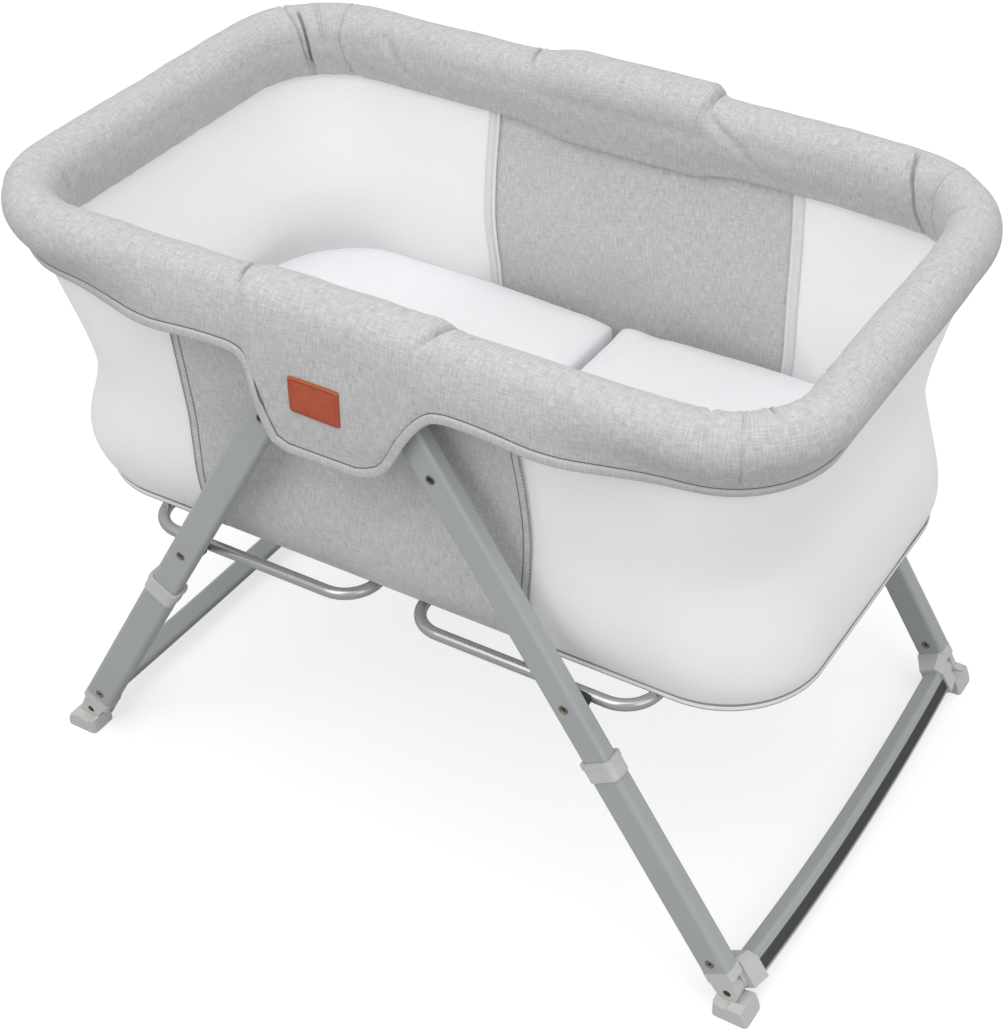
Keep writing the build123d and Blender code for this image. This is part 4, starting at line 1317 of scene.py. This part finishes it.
@dataclass
class Mattress:
    """Padded mattress in two halves, with a crease between them."""

    finishes: Finishes
    corner: float = 0.100
    side_bulge: float = 15.5 * MM
    waist: float = 4.0 * MM
    voxel: float = 5.0 * MM
    swell_cap: float = 4.0 * MM
    pressure: float = 4.0
    frames: int = 20
    top_round: float = 0.018
    side_round: float = 0.010
    crease_round: float = 0.003
    crease_corner: float = 0.004
    lumps: float = 1.2 * MM
    fan_folds: float = 17.0
    fan_centre: tuple[float, float] = (-0.06, -0.05)
    right_fold: float = 1.9 * MM
    left_fold: float = 0.8 * MM
    right_dip: tuple[float, float] = (0.004, 0.022)
    left_dip: tuple[float, float] = (0.007, 0.050)

    def blank(self, hand: Hand) -> Piece:
        """The half's cut shape before it is filled.

        Args:
            hand: Which half.

        Returns:
            A closed mesh a little smaller than the half.
        """
        low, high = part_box("mattress_right")
        inner_x, outer_x, width = low[0] + 0.4 * MM, high[0] - 1 * MM, high[1]
        bottom, top = low[2] + 0.6 * MM, high[2] + 0.5 * MM
        bend, bend_in = np.linspace(0, math.pi / 2, 14), np.linspace(0, math.pi / 2, 6)

        def outline(inset: float, inner_inset: float) -> Array:
            """The half's outline, drawn in by an inset and more at the crease."""
            r = max(self.corner - inset, 0.02)
            a, b = outer_x - 0.4 * inset, width - inset
            small, x0 = self.crease_corner, inner_x + inner_inset
            loop = [(x0 + small * (1 - math.cos(t)), b - small * (1 - math.sin(t))) for t in bend_in]
            loop += [(x, b) for x in np.linspace(x0 + small, a - r, 14)[1:-1]]
            loop += [(a - r + r * math.sin(t), b - r + r * math.cos(t)) for t in bend]
            loop = [(x, y - self.waist * (1 - float(ramp(0.03, 0.17, x)))) for x, y in loop]
            return np.array(loop + [(x, -y) for x, y in reversed(loop)])

        rings = [(0.006, 0.001, bottom), (0.0, 0.0, bottom + 0.010),
                 (-0.75 * self.side_bulge, 0.0, bottom + 0.028)]
        for share in np.linspace(0, 1, 8):
            turn = share * math.pi / 2
            rings.append((self.side_round * (1 - math.cos(turn)) - self.side_bulge,
                          self.crease_round * (1 - math.cos(turn)),
                          top - self.top_round + self.top_round * math.sin(turn)))
        points = []
        for inset, inner, z in rings:
            ring = outline(inset, inner)
            points.append(np.column_stack([ring, np.full(len(ring), z)]))
        count = len(points[0])
        faces = grid_faces(len(rings), count, wrap=True)
        faces.append(tuple(reversed(range(count))))
        faces.append(tuple((len(rings) - 1) * count + k for k in range(count)))
        every = np.concatenate(points)
        every[:, 0] *= hand.value
        return new_piece(f"mattress_pad_{hand.word}", every, faces, self.finishes.cotton)

    def fill(self, pad: Piece) -> None:
        """Fills the half with air pressure as cloth, with its travel capped."""
        scene = bpy.context.scene
        bpy.context.view_layer.objects.active = pad
        remesh = pad.modifiers.new("voxels", "REMESH")
        remesh.mode, remesh.voxel_size, remesh.use_smooth_shade = "VOXEL", self.voxel, True
        apply_modifiers(pad)
        start = np.array([v.co for v in pad.data.vertices])
        cloth = pad.modifiers.new("filling", "CLOTH")
        cloth.settings.use_pressure = True
        cloth.settings.uniform_pressure_force = self.pressure
        cloth.settings.effector_weights.gravity = 0
        cloth.settings.quality = 5
        cloth.point_cache.frame_start, cloth.point_cache.frame_end = 1, self.frames
        for number in range(1, self.frames + 1):
            scene.frame_set(number)
        apply_modifiers(pad)
        scene.frame_set(1)
        moved = np.array([v.co for v in pad.data.vertices]) - start
        far = np.linalg.norm(moved, axis=1, keepdims=True)
        place = start + moved * np.minimum(1, self.swell_cap / np.maximum(far, 1e-9))
        self.settle(pad, place)

    def settle(self, pad: Piece, place: Array) -> None:
        """Rests the half on its board and presses soft folds beside the crease.

        Args:
            pad: The half.
            place: Its filled points.
        """
        low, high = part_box("mattress_right")
        top = ramp(high[2] - 0.03, high[2] - 0.006, place[:, 2])
        side = np.sign(place[:, 0].mean())
        far = np.abs(place[:, 0])
        near = 1 - ramp(0.05, 0.20, far)
        angle = np.arctan2(place[:, 1] - self.fan_centre[1], far - self.fan_centre[0])
        fan = np.sin(angle * self.fan_folds + 0.6)
        fold = np.clip(fan, 0, 1) ** 3 * near * ramp(0.012, 0.04, far)
        place[:, 2] -= top * (self.right_fold if side > 0 else self.left_fold) * fold
        place[:, 2] += top * self.lumps * soft_noise(place * [1, 1, 0], 0.11, 21.0)
        dip, reach = self.right_dip if side > 0 else self.left_dip
        place[:, 2] -= top * dip * (1 - ramp(0, reach, far))
        place[:, 2] = np.clip(place[:, 2], low[2] + 0.2 * MM, high[2] + 4 * MM)
        place[:, 0] = side * np.maximum(side * place[:, 0], 0.6 * MM)
        pad.data.vertices.foreach_set("co", place.astype(np.float32).ravel())
        smooth = pad.modifiers.new("ease", "SMOOTH")
        smooth.factor, smooth.iterations = 0.5, 2
        finer = pad.modifiers.new("finer", "SUBSURF")
        finer.levels = finer.render_levels = 1
        apply_modifiers(pad)
        pad.data.shade_smooth()

    def build(self) -> list[Piece]:
        """Makes both halves.

        Returns:
            The new pieces.
        """
        pieces = []
        for hand in Hand:
            pad = self.blank(hand)
            self.fill(pad)
            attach(pad, f"{hand.word}_floor")
            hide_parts(f"mattress_{hand.word}")
            pieces.append(pad)
        return pieces


def apply_modifiers(piece: Piece) -> None:
    """Applies every modifier of a piece to its mesh."""
    graph = bpy.context.evaluated_depsgraph_get()
    done = bpy.data.meshes.new_from_object(piece.evaluated_get(graph))
    materials = list(piece.data.materials)
    piece.modifiers.clear()
    piece.data = done
    if not done.materials:
        for material in materials:
            done.materials.append(material)


@dataclass
class FloorTrim:
    """Piping and mesh band around the edge of the two floor boards."""

    wall: SoftWall
    finishes: Finishes
    piping_radius: float = 0.8 * MM
    board_depth: float = 4.5 * MM
    band_out: float = 0.9 * MM
    band_thickness: float = 0.6 * MM

    def outline(self, hand: Hand, grow: float) -> Array:
        """Line around one board's free edge, grown by a distance."""
        _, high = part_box("floor_board_right")
        length, width, corner = high[0] + grow, high[1] + grow, self.wall.floor_corner + grow
        bend = np.linspace(0, math.pi / 2, 26)
        starts = [abs(self.wall.edges(side, self.wall.floor_z)[hand is Hand.RIGHT]) for side in Side]
        sides = []
        for start in starts:
            run = [(x, -width) for x in np.linspace(start, length - corner, 12)[:-1]]
            run += [(length - corner + corner * math.sin(t), -width + corner * (1 - math.cos(t)))
                    for t in bend]
            run += [(length, y) for y in np.linspace(-width + corner, 0, 10)[1:]]
            sides.append(run)
        full = sides[0] + [(x, -y) for x, y in reversed(sides[1][:-1])]
        return np.array([(hand.value * x, y) for x, y in full])

    def build(self) -> list[Piece]:
        """Makes each board's two lines of piping and the band between them.

        Returns:
            The new pieces.
        """
        _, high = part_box("floor_board_right")
        lower = high[2] - self.board_depth - 0.4 * MM
        lines = {"upper": (high[2] + 0.8 * MM, 1.1 * MM), "lower": (lower, self.band_out)}
        pieces = []
        for hand in Hand:
            for name, (z, grow) in lines.items():
                flat = self.outline(hand, grow)
                line = np.column_stack([flat, np.full(len(flat), z)])
                pieces.append(tube(f"floor_piping_{name}_{hand.word}", line, self.piping_radius,
                                   self.finishes.piping))
            flat = self.outline(hand, self.band_out)
            z = np.linspace(lower, high[2] + 0.4 * MM, 5)
            grid = np.stack([np.column_stack([flat, np.full(len(flat), k)]) for k in z])
            weave = np.stack(np.meshgrid(run_along(flat), z), axis=2)
            if hand is Hand.LEFT:
                grid, weave = grid[:, ::-1], weave[:, ::-1]
            pieces.append(shell(f"floor_band_{hand.word}", grid, self.band_thickness, self.finishes.mesh,
                                weave))
            for piece in pieces[-3:]:
                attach(piece, f"{hand.word}_floor")
        return pieces


@dataclass
class Patch:
    """Bare leather patch on the front flap, with a pressed border and a sewn edge."""

    finishes: Finishes
    sleeves: dict
    width: float = 0.0535
    height: float = 0.0350
    corner: float = 2.2 * MM
    thickness: float = 1.7 * MM
    border: float = 2.6 * MM
    groove: float = 0.8 * MM
    centre_x: float = -0.0185
    centre_z: float = 0.5915
    flap_y: float = -0.2885

    def build(self) -> list[Piece]:
        """Makes the patch and its stitches, laid on the flap's own face.

        Returns:
            The new pieces.
        """
        u = np.concatenate([[-0.5, -0.49], np.linspace(-0.47, 0.47, 46), [0.49, 0.5]]) * self.width
        v = np.concatenate([[-0.5, -0.485], np.linspace(-0.46, 0.46, 34), [0.485, 0.5]]) * self.height
        us, vs = np.meshgrid(u, v)
        cut_x = np.clip(np.abs(us) - (self.width / 2 - self.corner), 0, None)
        cut_z = np.clip(np.abs(vs) - (self.height / 2 - self.corner), 0, None)
        over = np.hypot(cut_x, cut_z)
        pull = np.where(over > self.corner, self.corner / np.maximum(over, 1e-9), 1.0)
        us = np.sign(us) * (np.abs(us) - cut_x * (1 - pull))
        vs = np.sign(vs) * (np.abs(vs) - cut_z * (1 - pull))
        edge = np.minimum(self.width / 2 - np.abs(us), self.height / 2 - np.abs(vs))
        edge = np.where(over > 0, np.minimum(edge, self.corner - over), edge)
        dome = self.thickness * ramp(-0.4 * MM, 1.0 * MM, edge) + 0.3 * MM * ramp(2 * MM, 12 * MM, edge)
        dome -= self.groove * np.exp(-((edge - self.border) / (0.5 * MM)) ** 2)
        face = self.cloth_y(self.centre_x + us, self.centre_z + vs)
        grid = np.stack([self.centre_x + us, face - dome, self.centre_z + vs], axis=2)
        patch = shell("bare_patch", grid, 1.2 * MM, self.finishes.leather)
        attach(patch, "hub")
        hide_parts("leather_patch")
        return [patch, self.sew(face)]

    def cloth_y(self, x: Array, z: Array) -> Array:
        """How far out the flap's face is behind each point of the patch."""
        bpy.context.view_layer.update()
        result = np.full(x.shape, self.flap_y)
        for sleeve in self.sleeves.values():
            for index in np.ndindex(x.shape):
                if (x[index] >= 0) != (sleeve is self.sleeves[Hand.RIGHT]):
                    continue
                hit, place, _, _ = sleeve.ray_cast(Vector((x[index], -0.5, z[index])), Vector((0, 1, 0)))
                if hit:
                    result[index] = place[1]
        return result

    def sew(self, face: Array) -> Piece:
        """A row of stitches just inside the patch's edge."""
        inset, pitch = 1.7 * MM, 3.0 * MM
        a, b = self.width / 2 - inset, self.height / 2 - inset
        places, along = [], []
        for sign in (-1, 1):
            for x in np.arange(-a + pitch, a - pitch / 2, pitch):
                places.append((x, sign * b))
                along.append((1.0, 0, 0))
            for z in np.arange(-b + pitch, b - pitch / 2, pitch):
                places.append((sign * a, z))
                along.append((0, 0, 1.0))
        y = face.mean() - self.thickness
        at = np.array([(self.centre_x + x, y, self.centre_z + z) for x, z in places])
        out = np.tile([0, -1.0, 0], (len(at), 1))
        seam = stitches("patch_stitches", at, np.array(along), out, self.finishes.tan_thread,
                        length=2.0 * MM, width=0.32 * MM)
        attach(seam, "hub")
        return seam


@dataclass
class Stand:
    """Steel, plastic and rubber pieces that the frame already holds."""

    finishes: Finishes
    edge_width: float = 1.2 * MM
    foot_edge_width: float = 2.8 * MM
    splay: float = math.radians(31.4)
    leg_rivets: tuple[float, ...] = (0.0636, 0.3170)
    foot_rivets: tuple[float, ...] = (0.6277,)
    eyelet_radius: float = 4.1 * MM
    eyelet_roll: float = 0.9 * MM
    ease_angle: float = math.radians(40)

    def dress(self) -> list[Piece]:
        """Gives each piece of the frame its finish and eases its moulded edges.

        Returns:
            The dressed pieces.
        """
        f = self.finishes
        by_name = {"upper_leg": f.leg_paint, "lower_leg": f.leg_paint, "rocker_rail": f.leg_paint,
                   "floor_loop": f.loop_paint, "rim_tube": f.steel, "leg_collars": f.grey_plastic,
                   "foot_socket": f.grey_plastic, "flip_foot": f.grey_plastic, "rail_strip": f.rubber,
                   "loop_spacers": f.black, "leg_bolts": f.rivet, "foot_screws": f.rivet,
                   "hub_body": f.hub_plastic, "hub_cover": f.hub_plastic, "hub_pins": f.steel,
                   "cover_screws": f.steel, "release_button": f.button, "release_spring": f.steel,
                   "floor_board": f.board, "floor_hinge_strip": f.grey_plastic, "floor_pins": f.steel}
        eased = ("leg_collars", "foot_socket", "flip_foot", "hub_cover")
        dressed = []
        for name, node in frame["nodes"].items():
            finish = next((m for start, m in by_name.items() if name.startswith(start)), None)
            if finish is None:
                continue
            node.data.materials.clear()
            node.data.materials.append(finish)
            if name.startswith(eased):
                self.ease(node, self.foot_edge_width if name.startswith("flip_foot") else self.edge_width)
            dressed.append(node)
        return dressed

    def eyelets(self) -> list[Piece]:
        """Rolled rims around the leg rivets, on both faces of each leg.

        Returns:
            The new pieces.
        """
        pivot = next(j for j in frame["joints"] if j["name"] == "fold")["pos_m"]
        groups = (("legs", "upper_leg", self.leg_rivets), ("stand", "lower_leg", self.foot_rivets))
        turn, roll = np.linspace(0, 2 * math.pi, 29), np.radians(np.arange(0, 360, 45))
        out = self.eyelet_radius + self.eyelet_roll * np.cos(roll)
        pieces = []
        for hand in Hand:
            for body, node, places in groups:
                points, faces = [], []
                for side in Side:
                    low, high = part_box(f"{node}_{side.word}_{hand.word}")
                    for place, face in ((p, y) for p in places for y in (low[1], high[1])):
                        x = hand.value * (abs(pivot[0]) + place * math.sin(self.splay))
                        z = pivot[2] - place * math.cos(self.splay)
                        ring = np.stack([x + np.outer(np.cos(turn), out),
                                         np.tile(face + self.eyelet_roll * np.sin(roll), (len(turn), 1)),
                                         z + np.outer(np.sin(turn), out)], axis=2)
                        faces += grid_faces(len(turn), len(roll), wrap=True, start=sum(map(len, points)))
                        points.append(ring.reshape(-1, 3))
                rims = new_piece(f"{node}_eyelets_{hand.word}", np.concatenate(points), faces,
                                 self.finishes.eyelet)
                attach(rims, f"{hand.word}_{body}")
                pieces.append(rims)
        return pieces

    def ease(self, node: Piece, width: float) -> None:
        """Rounds the sharp edges of a moulded piece."""
        bevel = node.modifiers.new("eased_edges", "BEVEL")
        bevel.width, bevel.segments = width, 4
        bevel.limit_method, bevel.angle_limit = "ANGLE", self.ease_angle
        bevel.harden_normals = False


@dataclass
class Studio:
    """Pale floor, soft light and the camera at the photograph's place."""

    azimuth: float = 29.748
    elevation: float = 39.974
    place: tuple = (0.9279, -1.4070, 1.5997)
    focal_pixels: float = 1992.7
    image_width: int = 1004
    right_of_centre: float = 115.4
    below_centre: float = 59.6
    sensor: float = 36.0
    aim: tuple = (0, 0, 0.4)
    floor_reach: float = 30.0
    floor_grey: float = 0.5
    floor_glow: float = 0.61
    sky_strength: float = 0.68
    lamps: tuple = (("key_light", (0.3, -0.3, 3.2), 2.8, 31.0), ("fill_light", (2.9, -0.9, 1.9), 2.2, 15.0),
                    ("front_light", (-0.5, -2.6, 2.9), 2.2, 29.0))

    def build(self) -> None:
        """Makes the floor, the lights, the sky and the camera."""
        self.floor()
        self.sky()
        for name, place, size, power in self.lamps:
            self.lamp(name, place, size, power)
        self.camera()
        bpy.context.scene.view_settings.view_transform = "Standard"

    def floor(self) -> None:
        """A wide white floor that takes the bassinet's shadow."""
        reach = self.floor_reach
        corners = [(-reach, -reach, 0), (reach, -reach, 0), (reach, reach, 0), (-reach, reach, 0)]
        s = Shader("studio_floor")
        seen = s.node("ShaderNodeLightPath", out="Is Camera Ray")
        glow = s.blend(seen, (0.0, 0.0, 0.0, 1.0), (1.0, 1.0, 1.0, 1.0))
        grey = self.floor_grey
        white = s.finish({"Base Color": (grey, grey, grey, 1.0), "Roughness": 0.9, "Emission Color": glow,
                          "Emission Strength": self.floor_glow, "Specular IOR Level": 0.0})
        ground = new_piece("studio_floor", np.array(corners, float), [(0, 1, 2, 3)], white)

    def sky(self) -> None:
        """Even light from all round, which the camera sees as white."""
        world = bpy.data.worlds.new("studio_sky")
        bpy.context.scene.world = world
        world.use_nodes = True
        tree = world.node_tree
        path = tree.nodes.new("ShaderNodeLightPath")
        seen = tree.nodes.new("ShaderNodeMath")
        seen.operation = "MAXIMUM"
        tree.links.new(path.outputs["Is Camera Ray"], seen.inputs[0])
        tree.links.new(path.outputs["Is Transmission Ray"], seen.inputs[1])
        strength = tree.nodes.new("ShaderNodeMapRange")
        strength.inputs["To Min"].default_value = self.sky_strength
        strength.inputs["To Max"].default_value = 1.0
        tree.links.new(seen.outputs[0], strength.inputs["Value"])
        background = tree.nodes["Background"]
        background.inputs["Color"].default_value = (1, 1, 1, 1)
        tree.links.new(strength.outputs["Result"], background.inputs["Strength"])

    def lamp(self, name: str, place: tuple, size: float, power: float) -> None:
        """A square soft light that looks at the middle of the bed."""
        light = bpy.data.lights.new(name, "AREA")
        light.size, light.energy = size, power
        lamp = bpy.data.objects.new(name, light)
        lamp.location = place
        aim = Vector(self.aim) - Vector(place)
        lamp.rotation_euler = aim.to_track_quat("-Z", "Y").to_euler()
        bpy.context.scene.collection.objects.link(lamp)

    def camera(self) -> None:
        """The camera, with the shift of the photograph's crop."""
        data = bpy.data.cameras.new("photo_camera")
        data.sensor_fit, data.sensor_width = "HORIZONTAL", self.sensor
        data.lens = self.focal_pixels / self.image_width * self.sensor
        data.shift_x = -self.right_of_centre / self.image_width
        data.shift_y = self.below_centre / self.image_width
        camera = bpy.data.objects.new("photo_camera", data)
        camera.location = self.place
        camera.rotation_euler = (math.radians(90 - self.elevation), 0, math.radians(self.azimuth))
        bpy.context.scene.collection.objects.link(camera)
        bpy.context.scene.camera = camera


def main() -> None:
    """Builds the bassinet's looks in order and logs each piece."""
    logging.basicConfig(level=logging.INFO, format="%(message)s")
    finishes = Finishes()
    Studio().build()
    rim = RimLine()
    sleeves = {hand: Sleeve(hand, rim, finishes).build() for hand in Hand}
    wall = SoftWall(rim, finishes)
    pieces = [piece for made in sleeves.values() for piece in made]
    pieces += wall.build()
    pieces += Mattress(finishes).build()
    pieces += FloorTrim(wall, finishes).build()
    pieces += Patch(finishes, {hand: made[0] for hand, made in sleeves.items()}).build()
    stand = Stand(finishes)
    pieces += stand.dress() + stand.eyelets()
    for piece in pieces:
        LOG.info("%s: %d faces", piece.name, len(piece.data.polygons))


if __name__ == "__main__":
    main()
